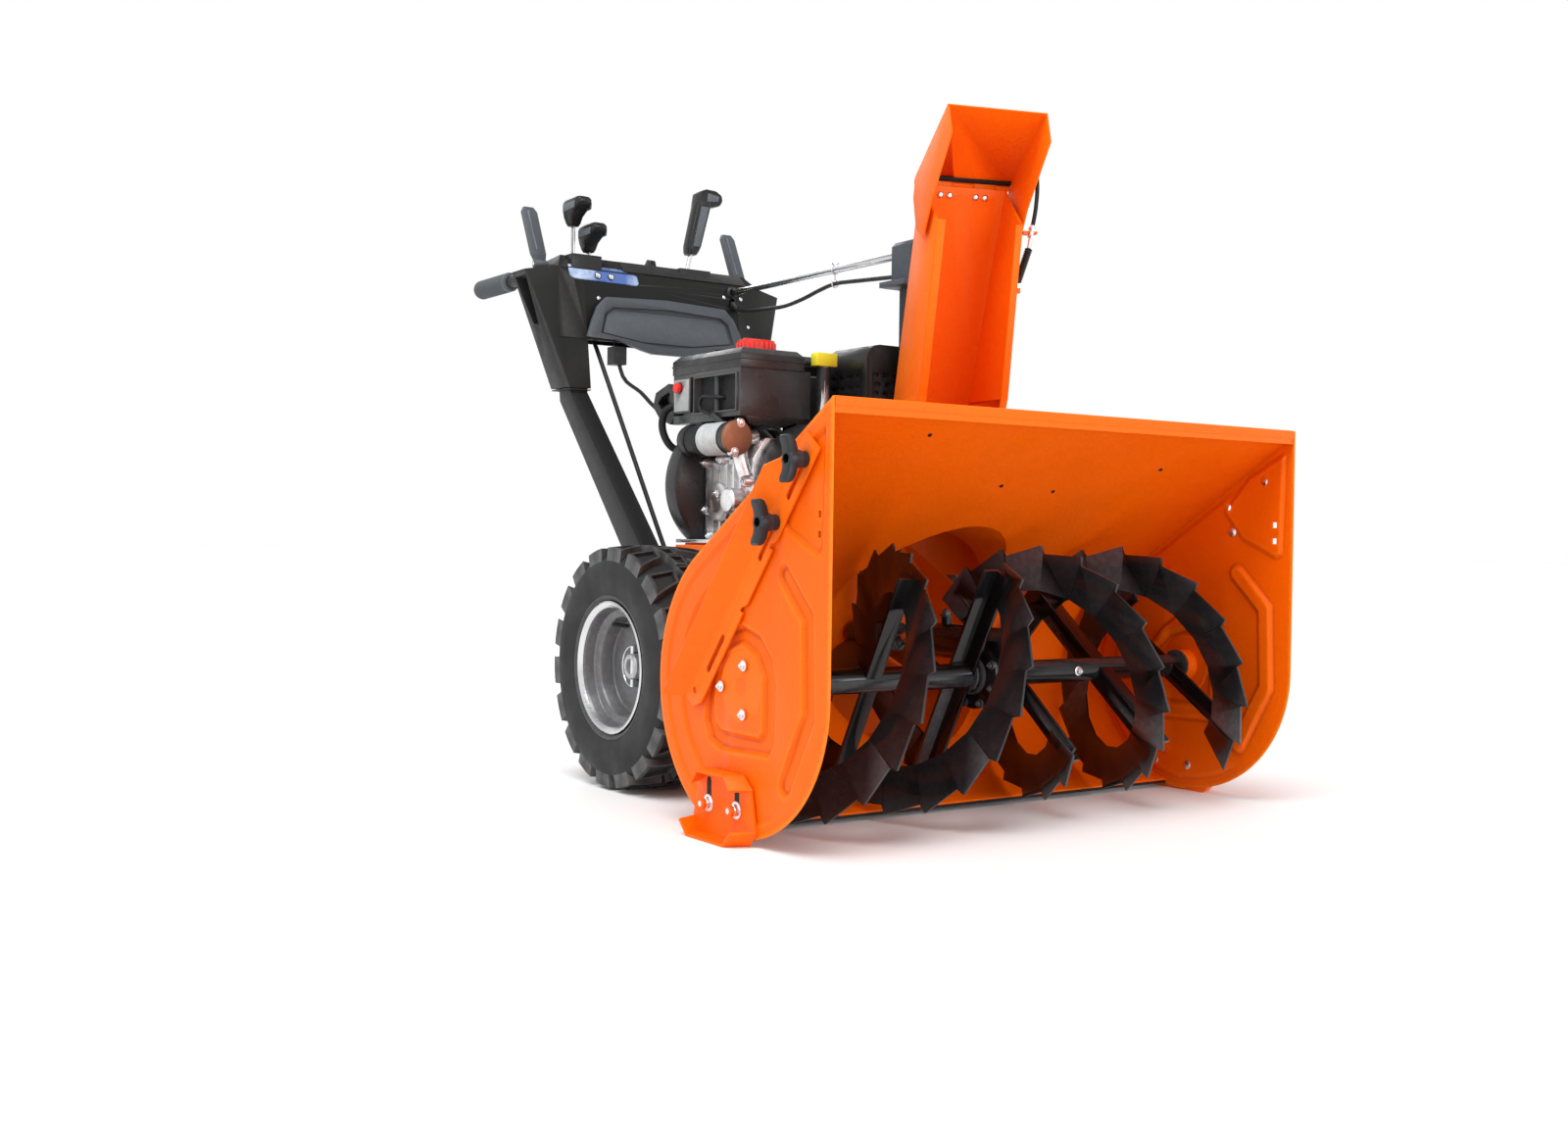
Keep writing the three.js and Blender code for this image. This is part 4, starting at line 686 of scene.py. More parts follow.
def hex_bolt(name, origin, axis, across=13.0, height=6.0, washer=True):
    """A hexagon head on a flanged washer, with a chamfered top and the thread's end in the middle."""
    radius = across / math.sqrt(3)
    thread = across * 0.28
    flange = across * 0.78
    head = [(1.4, radius), (height * 0.8, radius), (height, radius * 0.82)]
    end = [(0, thread), (height + 2, thread), (height + 3, across * 0.2)]
    parts = [lathe(name + "_head", head, origin, axis, 6), lathe(name + "_end", end, origin, axis, 14)]
    if washer:
        disc = [(0, flange), (1.6, flange), (2.0, across * 0.7)]
        parts.append(lathe(name + "_washer", disc, origin, axis, 24))
    return joined(name, parts)


def dome_head(name, origin, axis, radius=9.0, height=4.0):
    """A carriage bolt's low round head."""
    profile = [(-0.5, radius)]
    for k in range(7):
        turn = math.pi / 2 * k / 6
        profile.append((height * math.sin(turn), max(radius * math.cos(turn), 0.05)))
    return lathe(name, profile, origin, axis, 20)


# ---------------------------------------------------------------- auger housing


def wall_angle():
    """The direction, from the auger's axis, in which the straight wall leaves the round back."""
    back, up = -AUGER_Y, HOUSING_HEIGHT - AUGER_Z
    return math.atan2(up, back) - math.acos(SHELL_RADIUS / math.hypot(back, up))


def panel_outline():
    """The panel's [y, z] outline: the front edge, the quarter round under it and the round back."""
    outline = [(0.0, HOUSING_HEIGHT)]
    for k in range(25):
        turn = math.radians(180 + 90 * k / 24)
        outline.append((AUGER_Y + AUGER_Y * math.cos(turn), AUGER_Z + AUGER_Y * math.sin(turn)))
    first = math.radians(271)
    last = 2 * math.pi + wall_angle()
    for k in range(41):
        turn = first + (last - first) * k / 40
        outline.append((AUGER_Y + SHELL_RADIUS * math.cos(turn), AUGER_Z + SHELL_RADIUS * math.sin(turn)))
    return outline


def edge_gap(points, start, end):
    """The distance of each point from the straight line between two others."""
    run = end - start
    share = np.clip(((points - start) @ run) / (run @ run), 0, 1)
    gap = points - start - share[:, None] * run
    return np.hypot(gap[:, 0], gap[:, 1])


def inside_distance(points, polygon):
    """How far inside a closed outline each point lies; negative outside."""
    points = np.asarray(points, float)
    corners = np.asarray(polygon, float)
    nearest = np.full(len(points), np.inf)
    inside = np.zeros(len(points), bool)
    for start, end in zip(corners, np.roll(corners, -1, axis=0)):
        nearest = np.minimum(nearest, edge_gap(points, start, end))
        crosses = (start[1] > points[:, 1]) != (end[1] > points[:, 1])
        with np.errstate(divide="ignore", invalid="ignore"):
            where = (end[0] - start[0]) * (points[:, 1] - start[1]) / (end[1] - start[1]) + start[0]
        inside ^= crosses & (points[:, 0] < where)
    return np.where(inside, nearest, -nearest)


def line_distance(points, line):
    """The distance of each point from an open line."""
    points = np.asarray(points, float)
    line = np.asarray(line, float)
    return np.min([edge_gap(points, start, end) for start, end in zip(line, line[1:])], axis=0)


def soft_step(value, low, high):
    """Rises smoothly from 0 at low to 1 at high."""
    share = np.clip((value - low) / (high - low), 0, 1)
    return share * share * (3 - 2 * share)


OUTER_D = [
    (209, 300), (166, 288), (134, 258), (124, 226), (126, 150), (140, 128), (266, 124),
    (294, 134), (306, 160), (304, 200), (290, 238), (258, 276), (232, 294),
]
INNER_D = [
    (209, 277), (176, 262), (156, 232), (156, 158), (166, 147),
    (268, 149), (284, 160), (288, 196), (276, 236), (246, 266),
]
FRONT_RIB = [(106, 374), (50, 318), (45, 190), (98, 92)]
CORNER_PATCH = [(16, 566), (20, 408), (30, 402), (96, 432), (132, 476), (84, 530)]


def panel_relief(points):
    """How far the pressed shapes push the panel inwards, in millimetres."""
    edge = inside_distance(points, panel_outline())
    at_back = soft_step(points[:, 0], 90, 140)
    shoulder = soft_step(points[:, 0], 236, 262) * (1 - soft_step(points[:, 1], 370, 440))
    depth = 2.6 * soft_step(edge, 18, 22) * at_back
    depth += 3.6 * soft_step(edge, 52, 58) * shoulder
    depth += 7.0 * soft_step(inside_distance(points, OUTER_D), -3.0, 3.0)
    depth -= 5.6 * soft_step(inside_distance(points, INNER_D), -2.6, 2.6)
    depth += 6.0 * soft_step(12 - line_distance(points, FRONT_RIB), -3.0, 3.0)
    depth += 4.0 * soft_step(inside_distance(points, CORNER_PATCH), -2.6, 2.6)
    return depth


def dense_loop(loop, longest):
    """The loop with points added, so that each lies near the next."""
    dense = []
    for start, end in zip(loop, [*loop[1:], loop[0]]):
        cuts = max(1, int(math.dist(start, end) / longest))
        run = np.array(end) - np.array(start)
        dense += [tuple(np.array(start) + run * k / cuts) for k in range(cuts)]
    return dense


def panel_triangles(outline, holes):
    """The flat panel as points and triangles that are fine enough to be pressed."""
    spacing = 3.2
    ys = np.arange(spacing, 425, spacing)
    zs = np.arange(spacing, 605, spacing)
    grid = np.array([(y + (row % 2) * spacing / 2, z) for row, z in enumerate(zs) for y in ys])
    keep = inside_distance(grid, outline) > 2.2
    for hole in holes:
        keep &= inside_distance(grid, hole) < -2.0
    loops = [dense_loop(outline, 8.0), *[dense_loop(hole, 20.0) for hole in holes]]
    flat = []
    edges = []
    for loop in loops:
        base = len(flat)
        edges += [(base + k, base + (k + 1) % len(loop)) for k in range(len(loop))]
        flat += loop
    flat += [tuple(p) for p in grid[keep]]
    made = delaunay_2d_cdt([Vector(p) for p in flat], edges, [], 0, 1e-5)
    points = np.array([tuple(p) for p in made[0]])
    centres = np.array([np.mean([points[i] for i in face], axis=0) for face in made[2]])
    wanted = inside_distance(centres, outline) > 0
    for hole in holes:
        wanted &= inside_distance(centres, hole) < 0
    return points, [tuple(face) for face, good in zip(made[2], wanted) if good]


def sheet_walls(faces, count):
    """The walls between a sheet's two sides, along the edges that only one triangle has."""
    edge_use = {}
    for face in faces:
        for a, b in zip(face, face[1:] + face[:1]):
            key = (min(a, b), max(a, b))
            edge_use[key] = None if key in edge_use else (a, b)
    return [(pair[0], pair[1], pair[1] + count, pair[0] + count) for pair in edge_use.values() if pair]


def side_panel(side):
    """A side panel with its holes and its pressed relief."""
    name = SIDE_NAMES[side]
    outline = panel_outline()
    square = [(-4.5, -4.5), (4.5, -4.5), (4.5, 4.5), (-4.5, 4.5)]
    holes = [[(y + u, z + v) for u, v in square] for y, z in ((32, 454), (32, 428))]
    holes.append(ring_points((124, 483), 5.0, 16))
    points, faces = panel_triangles(outline, holes)
    depth = panel_relief(points)
    count = len(points)
    outer = [at(side * (PANEL_OUTER - d), y, z) for (y, z), d in zip(points, depth)]
    inner = [at(side * (PANEL_HALF - d), y, z) for (y, z), d in zip(points, depth)]
    inner_faces = [tuple(i + count for i in reversed(face)) for face in faces]
    shape = faces + inner_faces + sheet_walls(faces, count)
    panel = mesh_object(f"side_panel_{name}_sheet", outer + inner, shape)
    with editing(panel) as work:
        bmesh.ops.delete(work, geom=[v for v in work.verts if not v.link_faces], context="VERTS")
        bmesh.ops.recalc_face_normals(work, faces=work.faces)
    finished(panel, "pressed_orange", "machine", 42)
    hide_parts(f"side_panel_{name}")


def auger_bearing(side):
    """The flange that holds the auger's end in the side panel, and its three bolts."""
    name = SIDE_NAMES[side]
    profile = [(0, 50), (5, 50), (7, 47), (7, 27), (24, 24), (24, 14), (5, 14), (5, 13.2), (0, 13.2)]
    place = at(side * (PANEL_HALF - 0.8), AUGER_Y, AUGER_Z)
    flange = lathe(f"bearing_flange_{name}", profile, place, (-side, 0, 0), 48, True)
    finished(flange, "orange", "machine", 30)
    bolts = [
        hex_bolt(f"bearing_bolt_{name}_{k}", at(side * (PANEL_OUTER - 1.2), y, z), (side, 0, 0), 10, 5)
        for k, (y, z) in enumerate([(200, 246), (257, 213), (201, 178)])
    ]
    one_piece(f"bearing_bolts_{name}", bolts)


def housing_details():
    """The rolled hem along the top, the screws in the back wall and the bolts inside the ends."""
    top = HOUSING_HEIGHT + 1
    outline = [
        (-1, top - 12), (0.5, top - 13.5), (7, top - 13.5), (9, top - 12),
        (9, top - 1.5), (7.5, top), (0.5, top), (-1, top - 1.5),
    ]
    hem = prism("housing_hem", outline, "x", 1 - PANEL_HALF, PANEL_HALF - 1)
    bevelled(hem, 1.2, 3, 25)
    finished(hem, "orange", "machine", 50)
    screws = []
    for k, (x, z) in enumerate([(-262, 566), (-42, 505), (72, 500), (246, 538)]):
        screws.append(dome_head(f"wall_screw_{k}", at(x, wall_depth(z) - 0.4, z), (0, -1, -0.6), 3.4, 1.8))
    one_piece("wall_screws", screws, "dark")
    for side in (-1, 1):
        name = SIDE_NAMES[side]
        heads = [
            dome_head(f"inner_bolt_{name}_{k}", at(side * (PANEL_HALF - 0.5), y, z), (-side, 0, 0), 9, 4.5)
            for k, (y, z) in enumerate([(206, 44), (278, 44)])
        ]
        one_piece(f"inner_bolts_{name}", heads)


def wall_depth(z):
    """How far back the inside of the housing's straight wall lies at that height."""
    top = wall_angle()
    return AUGER_Y + (206 - (z - AUGER_Z) * math.sin(top)) / math.cos(top)


def skid_shoe_details():
    """The nuts that hold each shoe, the ends of their studs, and thin dark plates as painted shade where the
    slots they sit in are.
    """
    for side, name in SIDE_NAMES.items():
        nuts = []
        slots = []
        for k, y in enumerate(SHOE_BOLT_YS):
            place = at(side * (PANEL_OUTER + 4.4), y, SHOE_BOLT_Z)
            nuts.append(hex_bolt(f"shoe_nut_{name}_{k}", place, (side, 0, 0), 16, 9))
            ends = [at(side * (PANEL_OUTER + out), y, SHOE_BOLT_Z) for out in (4, 20)]
            nuts.append(tube(f"shoe_stud_{name}_{k}", ends, 4.2, 14))
            # Each slot is a thin near-black plate on the shoe: painted shade where the slot is.
            outline = [(y + across, up) for up, across in rounded_slot(40, 0, 44, 11)]
            outer = side * (PANEL_OUTER + 4.6)
            slots.append(prism(f"shoe_slot_shade_{name}_{k}", outline, "x", side * (PANEL_OUTER + 3.6), outer))
        one_piece(f"shoe_nuts_{name}", nuts)
        one_piece(f"shoe_slot_shades_{name}", slots, "dark")


# ---------------------------------------------------------------- wheels


def wheel(side):
    name = SIDE_NAMES[side]
    centre = at(side * WHEEL_X, WHEEL_Y, WHEEL_Z)
    axis = Vector((side, 0, 0))
    tyre(name, centre, axis)
    rim(name, centre, axis)
    hub_pin(name, centre, axis)


def tyre(name, centre, axis):
    """The carcass, its tread and the two beads that grip the rim."""
    carcass = WHEEL_RADIUS - 13
    half_section = [
        (62, 103.8), (76, 118), (82, 142), (82, 160), (79, 174), (71, 184.5), (56, 189), (34, carcass - 0.5),
    ]
    section = [(-x, r) for x, r in half_section] + [(0, carcass)] + half_section[::-1]
    carcass_ring = lathe(f"tyre_{name}_carcass", smooth_profile(section, 4), centre, axis, 96, closed=True)
    lugs = [lug for half in (-1, 1) for lug in tread_half(name, centre, axis, half, carcass)]
    beads = []
    for k, (x, grow) in enumerate([(73, 4), (-73, -4)]):
        profile = [(x, 112), (x + grow, 116), (x + grow * 1.2, 119), (x, 123)]
        beads.append(lathe(f"bead_{k}", profile, centre, axis, 96, closed=True))
    whole = joined(f"tyre_{name}_tread", [carcass_ring, *lugs, *beads])
    finished(whole, "tyre", f"wheel_{name}", 30)
    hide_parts(f"tyre_{name}")


def rim(name, centre, axis):
    """The pressed rim with its hub, the bright lip round it and the valve."""
    body = f"wheel_{name}"
    profile = [
        (-62, 103.5), (-62, 96), (-40, 88), (18, 84), (18, 26), (-30, 24), (-30, 13.2), (10.5, 13.2),
        (10.5, 20), (22, 24), (24, 34), (22, 74), (23, 79.5), (26, 80.5), (44, 82), (48, 84.5), (50, 93),
        (52, 96), (66, 98), (71, 100), (75, 104), (77, 107.5), (75.5, 109.5), (73, 109), (71, 105),
        (64, 103.6),
    ]
    pressing = lathe(f"rim_{name}_pressing", profile, centre, axis, 96, closed=True)
    bevelled(pressing, 0.9, 2, 28)
    lip_profile = [(71.6, 99.4), (75.6, 103.4), (77.8, 107.4), (76, 110.3), (75.2, 108.6), (74, 105)]
    lip = lathe(f"rim_lip_{name}", lip_profile, centre, axis, 96, closed=True)
    finished(lip, "steel", body, 34)
    hub_profile = [(10, 13.1), (10, 22), (34, 22), (36, 20), (36, 13.1)]
    hub = lathe(f"hub_{name}", hub_profile, centre, axis, 48, closed=True)
    foot = centre + axis * 0.024 + Vector((0, 0.030, 0.066))
    tip = centre + axis * 0.052 + Vector((0, 0.032, 0.070))
    valve = tube(f"valve_{name}", [foot, tip], 3.4, 12)
    whole_rim = joined(f"rim_{name}_whole", [pressing, hub])
    finished(whole_rim, "rim", body, 34)
    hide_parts(f"rim_{name}")
    finished(valve, "rubber", body)


def hub_pin(name, centre, axis):
    """The pin through the hub and the bowed wire that holds it."""
    out = centre + axis * 0.030
    reach = 0.034
    pin = tube(f"hub_pin_{name}", [out + Vector((0, 0, -reach)), out + Vector((0, 0, reach))], 4, 14)
    bow = [out + Vector((0.0, reach * math.sin(t), reach * math.cos(t))) for t in np.linspace(0, math.pi, 18)]
    clip = tube(f"hub_clip_{name}", bow, 1.6, 8)
    one_piece(f"hub_pin_set_{name}", [pin, clip], "zinc", f"wheel_{name}")


def smooth_profile(points, steps):
    """The points of a section with more between them, along a smooth curve."""
    line = smooth_line([Vector((x, r, 0)) for x, r in points], steps)
    return [(point.x, point.y) for point in line]


LUGS_ROUND = 18
# Corners of a lug: how far round the tyre and how far from its middle, in millimetres.
OUTER_LUG = [(4, 25), (33, 20), (24, 76), (-22, 76)]
MIDDLE_LUG = [(-14, -9), (15, -14), (13, 15), (-17, 10)]


def tread_half(name, centre, axis, half, carcass):
    """The lugs of one half of the tread: blocks over the shoulder, and a row of smaller ones inside them."""
    side = axis.orthogonal().normalized()
    other = axis.cross(side)
    reach = carcass + 4

    def low_radius(x):
        return carcass - 2 * (x / 54) ** 2 if x < 54 else carcass - 2 - 0.018 * (x - 54) ** 2

    def place(around, x, radius):
        turn = around / reach
        spoke = side * math.cos(turn) + other * math.sin(turn)
        return centre + (axis * (half * x) + spoke * radius) * MM

    lugs = []
    pitch = 2 * math.pi * reach / LUGS_ROUND
    for k in range(LUGS_ROUND):
        start = pitch * (k + (0.5 if half > 0 else 0))
        for row, corners in enumerate((OUTER_LUG, MIDDLE_LUG)):
            shift = start + (pitch / 2 - 6 if row else 0)
            lugs.append(hollow_block(f"lug_{name}_{half}_{k}_{row}", corners, shift, low_radius, place))
    return lugs


def hollow_block(name, corners, shift, low_radius, place):
    """A four-sided block on the tyre, with straight sides and a sunk, rimmed top."""
    steps = 4
    middle = np.mean(corners, axis=0)

    def loop(share, radius_at):
        shape = [middle + (np.array(corner) - middle) * share for corner in corners]
        points = []
        for start, end in zip(shape, shape[1:] + shape[:1]):
            for k in range(steps):
                around, x = start + (end - start) * k / steps
                points.append(place(around + shift, x, radius_at(abs(x))))
        return points

    def top(x):
        return WHEEL_RADIUS - 0.6 - 4.4 * (x / 76) ** 2

    rings = [
        loop(1.06, lambda x: low_radius(x) - 3),
        loop(1.0, lambda x: top(x) - 0.8),
        loop(0.96, top),
        loop(0.74, top),
        loop(0.70, lambda x: top(x) - 6),
    ]
    points = [point for ring in rings for point in ring]
    return outwards(mesh_object(name, points, ring_faces(len(rings), len(corners) * steps)))


# ---------------------------------------------------------------- auger and gear case


def auger_details():
    """The bolts and the end flanges of the rakes' sleeves, and the ribs and bolts of the gear case."""
    shear_bolts = []
    flanges = []
    inner_flange = [(0.4, 13.2), (0.4, 24), (4, 24), (4, 13.2)]
    outer_flange = [(0, 13.2), (0, 26), (4, 26), (5, 20), (8, 20), (8, 13.2)]
    for side in (-1, 1):
        origin = at(side * 176, AUGER_Y - 19, AUGER_Z)
        shear_bolts.append(hex_bolt(f"shear_{side}", origin, (0, -1, 0), 10, 6))
        for x, profile in zip(SLEEVE_ENDS, (inner_flange, outer_flange)):
            centre = at(side * x, AUGER_Y, AUGER_Z)
            flanges.append(lathe(f"sleeve_end_{side}_{x}", profile, centre, (side, 0, 0), 32, True))
    one_piece("shear_bolts", shear_bolts, "zinc", "auger")
    one_piece("sleeve_ends", flanges, "black", "auger")
    ribs = []
    bolts = [hex_bolt("filler_plug", at(0, AUGER_Y + 100, AUGER_Z + 86), (0, 0, 1), 14, 8)]
    for side in (-1, 1):
        profile = [(0, 13.4), (0, 30), (2.5, 30), (2.5, 13.4)]
        for x in (AUGER_HUB - 5.5, AUGER_HUB - 2.5):
            centre = at(side * x, AUGER_Y, AUGER_Z)
            ribs.append(lathe(f"hub_rib_{side}_{x}", profile, centre, (side, 0, 0), 36, True))
        for k in range(8):
            turn = math.radians(22 + 45 * k)
            y, z = AUGER_Y + 46 * math.cos(turn), AUGER_Z + 46 * math.sin(turn)
            boss = [(-4, 7), (2.5, 7), (3.5, 6)]
            ribs.append(lathe(f"case_boss_{side}_{k}", boss, at(side * 30, y, z), (side, 0, 0), 18))
            if side < 0:
                bolts.append(hex_bolt(f"case_bolt_{k}", at(-33.4, y, z), (-1, 0, 0), 8, 4, False))
    one_piece("gear_case_ribs", ribs, "black")
    one_piece("gear_case_bolts", bolts, "black")


# ---------------------------------------------------------------- chute


def chute_details():
    """The bolts, the hinge and the collar's bolts of the chute."""
    lean = 0.375
    front = 12 - lean * 327 - 1.8
    heads = [
        dome_head(f"chute_bolt_{x}", chute_at(x, front, 982), direction(0, -1, -lean), 6.0, 3.6)
        for x in (-39, -23, 23, 39)
    ]
    one_piece("chute_bolts", heads, "zinc", "chute")
    # A thin near-black strip under the hinge: painted shade in the gap between the chute and the deflector.
    hinge_points = [
        chute_at(-80, -121.5, 1003.5), chute_at(80, -121.5, 1003.5), chute_at(80, -125, 1009),
        chute_at(-80, -125, 1009), chute_at(-80, -115.5, 1003.5), chute_at(80, -115.5, 1003.5),
        chute_at(80, -119, 1009), chute_at(-80, -119, 1009),
    ]
    faces = [(0, 1, 2, 3), (7, 6, 5, 4), (0, 4, 5, 1), (1, 5, 6, 2), (2, 6, 7, 3), (3, 7, 4, 0)]
    strip = outwards(mesh_object("hinge_gap_shade", hinge_points, faces))
    finished(bevelled(strip, 0.6), "dark", "deflector", 30)

    def on_hinge(x):
        return chute_at(x, HINGE_Y, HINGE_Z)

    sleeves = [tube(f"hinge_sleeve_{s}", [on_hinge(s * 57), on_hinge(s * 80.5)], 6.6, 24) for s in (-1, 1)]
    one_piece("hinge_sleeves", sleeves, "orange", "deflector")
    pin = tube("hinge_pin", [on_hinge(-62), on_hinge(62)], 2.6, 16)
    pin_ends = [dome_head(f"hinge_end_{s}", on_hinge(s * 61), direction(s, 0, 0), 6, 3) for s in (-1, 1)]
    one_piece("hinge_pin_set", [pin, *pin_ends], "zinc", "chute")
    collar_bolts = []
    for k in range(6):
        turn = math.radians(60 * k + 15)
        place = chute_at(94 * math.cos(turn), 94 * math.sin(turn), 504.5)
        collar_bolts.append(hex_bolt(f"collar_bolt_{k}", place, (0, 0, 1), 10, 5))
    one_piece("collar_bolts", collar_bolts, "zinc", "chute")
    deflector_cable_end()


def direction(x, y, z):
    """A direction of the chute's own axes, in the frame."""
    return (Matrix.Rotation(CHUTE_TURN, 3, "Z") @ Vector((x, y, z))).normalized()


def deflector_cable_end():
    """The cable's end down the right of the chute: a clamped loop, an adjuster and a bellows boot."""
    loop = [
        (70, -146, 1031), (86, -150, 1047), (CABLE_X, -160, 1046), (CABLE_X, -184, 1022),
        (CABLE_X, -194, 990), (CABLE_X, -190, 956), (CABLE_X, -180, 930),
    ]
    upper = tube("deflector_cable_loop", smooth_line([chute_at(*point) for point in loop], 8), 3.4, 12)
    finished(upper, "rubber", "deflector")
    anchor = hex_bolt("deflector_cable_anchor", chute_at(70, -146, 1026.5), direction(0, 0.522, 0.853), 12, 8)
    finished(anchor, "zinc", "deflector", 30)
    ferrule_line = [(-181, 934), (-176, 922), (-172, 908), (-167, 896)]
    ferrule = tube("deflector_cable_ferrule", [chute_at(CABLE_X, y, z) for y, z in ferrule_line], 3.6, 12)
    along = direction(0, 0.35, -0.93)
    nuts = [
        lathe(f"adjuster_{z}", [(-2.5, 6.5), (2.5, 6.5)], chute_at(CABLE_X, y, z), along, 6)
        for y, z in ((-177, 924), (-174, 913))
    ]
    one_piece("deflector_adjuster", [ferrule, *nuts], "zinc", "deflector")
    start, end = chute_at(CABLE_X, -166, 894), chute_at(92, -129, 846)
    steps = 64
    fold = (4.2, 5.4, 6.5, 5.4)
    line = [start.lerp(end, k / steps) for k in range(steps + 1)]
    boot = tube("cable_boot", line, max(fold), 16, [fold[k % len(fold)] for k in range(steps + 1)])
    boot.data.materials.append(LOOKS["rubber"])
    boot.data.shade_smooth()
    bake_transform(boot)
    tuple(end)
    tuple(start)
    tip = tube("cable_tip", [end, chute_at(91, -127, 834)], 3, 12)
    nut = lathe("cable_tip_nut", [(0, 6.5), (6, 6.5)], chute_at(91, -127, 836.2), (0, 0, 1), 6)
    one_piece("cable_tip_set", [tip, nut], "zinc", "chute")


# ---------------------------------------------------------------- handlebars, console and levers


def console_shell():
    """The console with a sunk triangle in each wing and grooves where its mouldings meet."""
    piece = copy_of("console_shell")
    for side in (-1, 1):
        groove = box(f"groove_{side}", (side * 170 - 80, 1100, 711), (side * 170 + 80, 1400, 713.4))
        cut_by(piece, groove)
    face = console_front(813)
    for low, high in ((-400, -176), (176, 400)):
        cut_by(piece, box(f"groove_across_{low}", (low, face - 8, 811.4), (high, face + 1.6, 813.6)))
    for side in (-1, 1):
        outline = [(1244, 936), (1292, 934), (1262, 842), (1240, 838)]
        cut_by(piece, prism(f"wing_recess_{side}", outline, "x", side * 262, side * 330))
    bevelled(piece, 4.5, 3, 22)
    finished(piece, "plastic", "machine", 40)
    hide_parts("console_shell")
    # A near-black plate at the floor of each wing's recess: painted shade in the recess.
    for side in (-1, 1):
        outline = [(1246, 934), (1289, 932), (1261, 845), (1242, 840)]
        recess_shade = prism(f"wing_recess_shade_{side}", outline, "x", side * 255, side * 263)
        finished(bevelled(recess_shade, 1.5), "dark", "machine")


def console_details():
    """The strip, the pads round the levers' slots, the fin, the screws and the two rubber collars."""
    strip_back = CONSOLE_TOP_FRONT + 30
    low = (CONSOLE_TOP_FRONT + 3, CONSOLE_TOP_Z + 3.4)
    high = (strip_back - 4, CONSOLE_TOP_Z + 26.4)
    outline = [low, high, (high[0] + 1.4, high[1] + 1.4), (low[0] - 1.4, low[1] + 1.4)]
    strip = prism("console_strip", outline, "x", -88, 208)
    finished(bevelled(strip, 0.8), "engine_plastic", "machine", 30)
    pads = []
    for x, y, half, front in ((-173, 1254, 34, 26), (90, 1268, 38, 13)):
        pads.append(ring_pad(f"lever_pad_{x}", x, y, half, 30, front))
    finished(bevelled(joined("lever_pads", pads), 2.5, 3, 25), "engine_plastic", "machine", 40)
    fin = prism("console_fin", [(1256, 979), (1262, 996), (1274, 1000), (1292, 981)], "x", -8, 8)
    finished(bevelled(fin, 3, 3), "engine_plastic", "machine", 40)
    screws = []
    for x, z in ((150, 929), (192, 929), (-150, 898), (206, 870)):
        place = at(x, console_front(z) + 0.2, z)
        screws.append(dome_head(f"console_screw_{x}", place, (0, -1, 0.14), 4.5, 2.6))
    one_piece("console_screws", screws)
    collar_at = at(170.2, 1208, 910.5)
    gland = lathe("cable_gland", [(-6, 9), (4, 9), (14, 6.4), (22, 5.2)], collar_at, (0.02, -0.72, -0.62), 24)
    finished(gland, "rubber", "machine")
    ring_profile = [(-4, 7.8), (-4, 13), (2, 13), (6, 9.5), (6, 7.8)]
    ring_at = at(170.0, console_front(940) - 1, 940.5)
    rod_ring = lathe("rod_grommet", ring_profile, ring_at, (-0.07, -1, -0.02), 28, True)
    finished(rod_ring, "rubber", "machine")


def ring_pad(name, x, y, half_x, half_y, front):
    """A raised frame round a lever's slot, which reaches that far forward for the lever's travel."""
    pad = box(name, (x - half_x, y - half_y, 952), (x + half_x, y + half_y, 984))
    slot = box(name + "_slot", (x - half_x + 8, y - front, 940), (x + half_x - 8, y + 18, 1000))
    return cut_by(pad, slot)


def bezel():
    """The bezel and a raised panel on its face, which leans with the console's front."""
    shown("console_bezel", "slate", 2.4, 36)
    outline = [
        (-150, 828), (-60, 815), (60, 815), (150, 828), (139, 866), (124, 876), (-124, 876), (-139, 866),
    ]

    def on_face(x, y, z):
        return at(x, console_front(z) - 5.4 - 4.6 + y, z)

    panel = prism("bezel_panel", outline, "y", -1.2, 1.2, on_face)
    finished(bevelled(panel, 0.9, 2), "slate", "machine", 30)


def headlight():
    """The lens with two lamps behind it, each in a dark ring."""
    shown("headlight", "lens", 3.0, 30)
    lamps = []
    rings = []
    lamp = [(-1, 5.4), (1.6, 5.4), (2.2, 4.6), (0.8, 3.9), (0.4, 1.5), (1.8, 0.8)]
    ring = [(-1, 5), (-1, 7), (1, 7), (1, 5)]
    for x in (-150, -120):
        origin = at(x, console_front(944) - 1.2, 944)
        lamps.append(lathe(f"lamp_{x}", lamp, origin, (0, -1, 0.14), 28))
        rings.append(lathe(f"lamp_ring_{x}", ring, origin, (0, -1, 0.14), 28, True))
    one_piece("headlight_lamps", lamps)
    one_piece("headlight_lamp_rings", rings, "dark")


def clutch_lever(side):
    """A tapered paddle with one crease along its front."""
    name = SIDE_NAMES[side]
    shown(f"clutch_lever_{name}", "slate", 3.5, 36)

    def on_front(run, across):
        out = Vector((0, -math.cos(CLUTCH_LEAN), math.sin(CLUTCH_LEAN)))
        y = CLUTCH_Y + run * math.sin(CLUTCH_LEAN)
        z = CLUTCH_Z + run * math.cos(CLUTCH_LEAN)
        return at(side * CLUTCH_X + across, y, z) + out * 0.0066

    crease = tube(f"clutch_crease_{name}", [on_front(30, -4), on_front(80, -5), on_front(124, -5)], 2.4, 12)
    finished(crease, "slate", f"clutch_lever_{name}")
    pin_ends = [at(side * CLUTCH_X + reach, CLUTCH_Y, CLUTCH_Z) for reach in (-15.5, 15.5)]
    finished(tube(f"clutch_pin_{name}", pin_ends, 4, 16), "zinc", f"clutch_lever_{name}", 30)


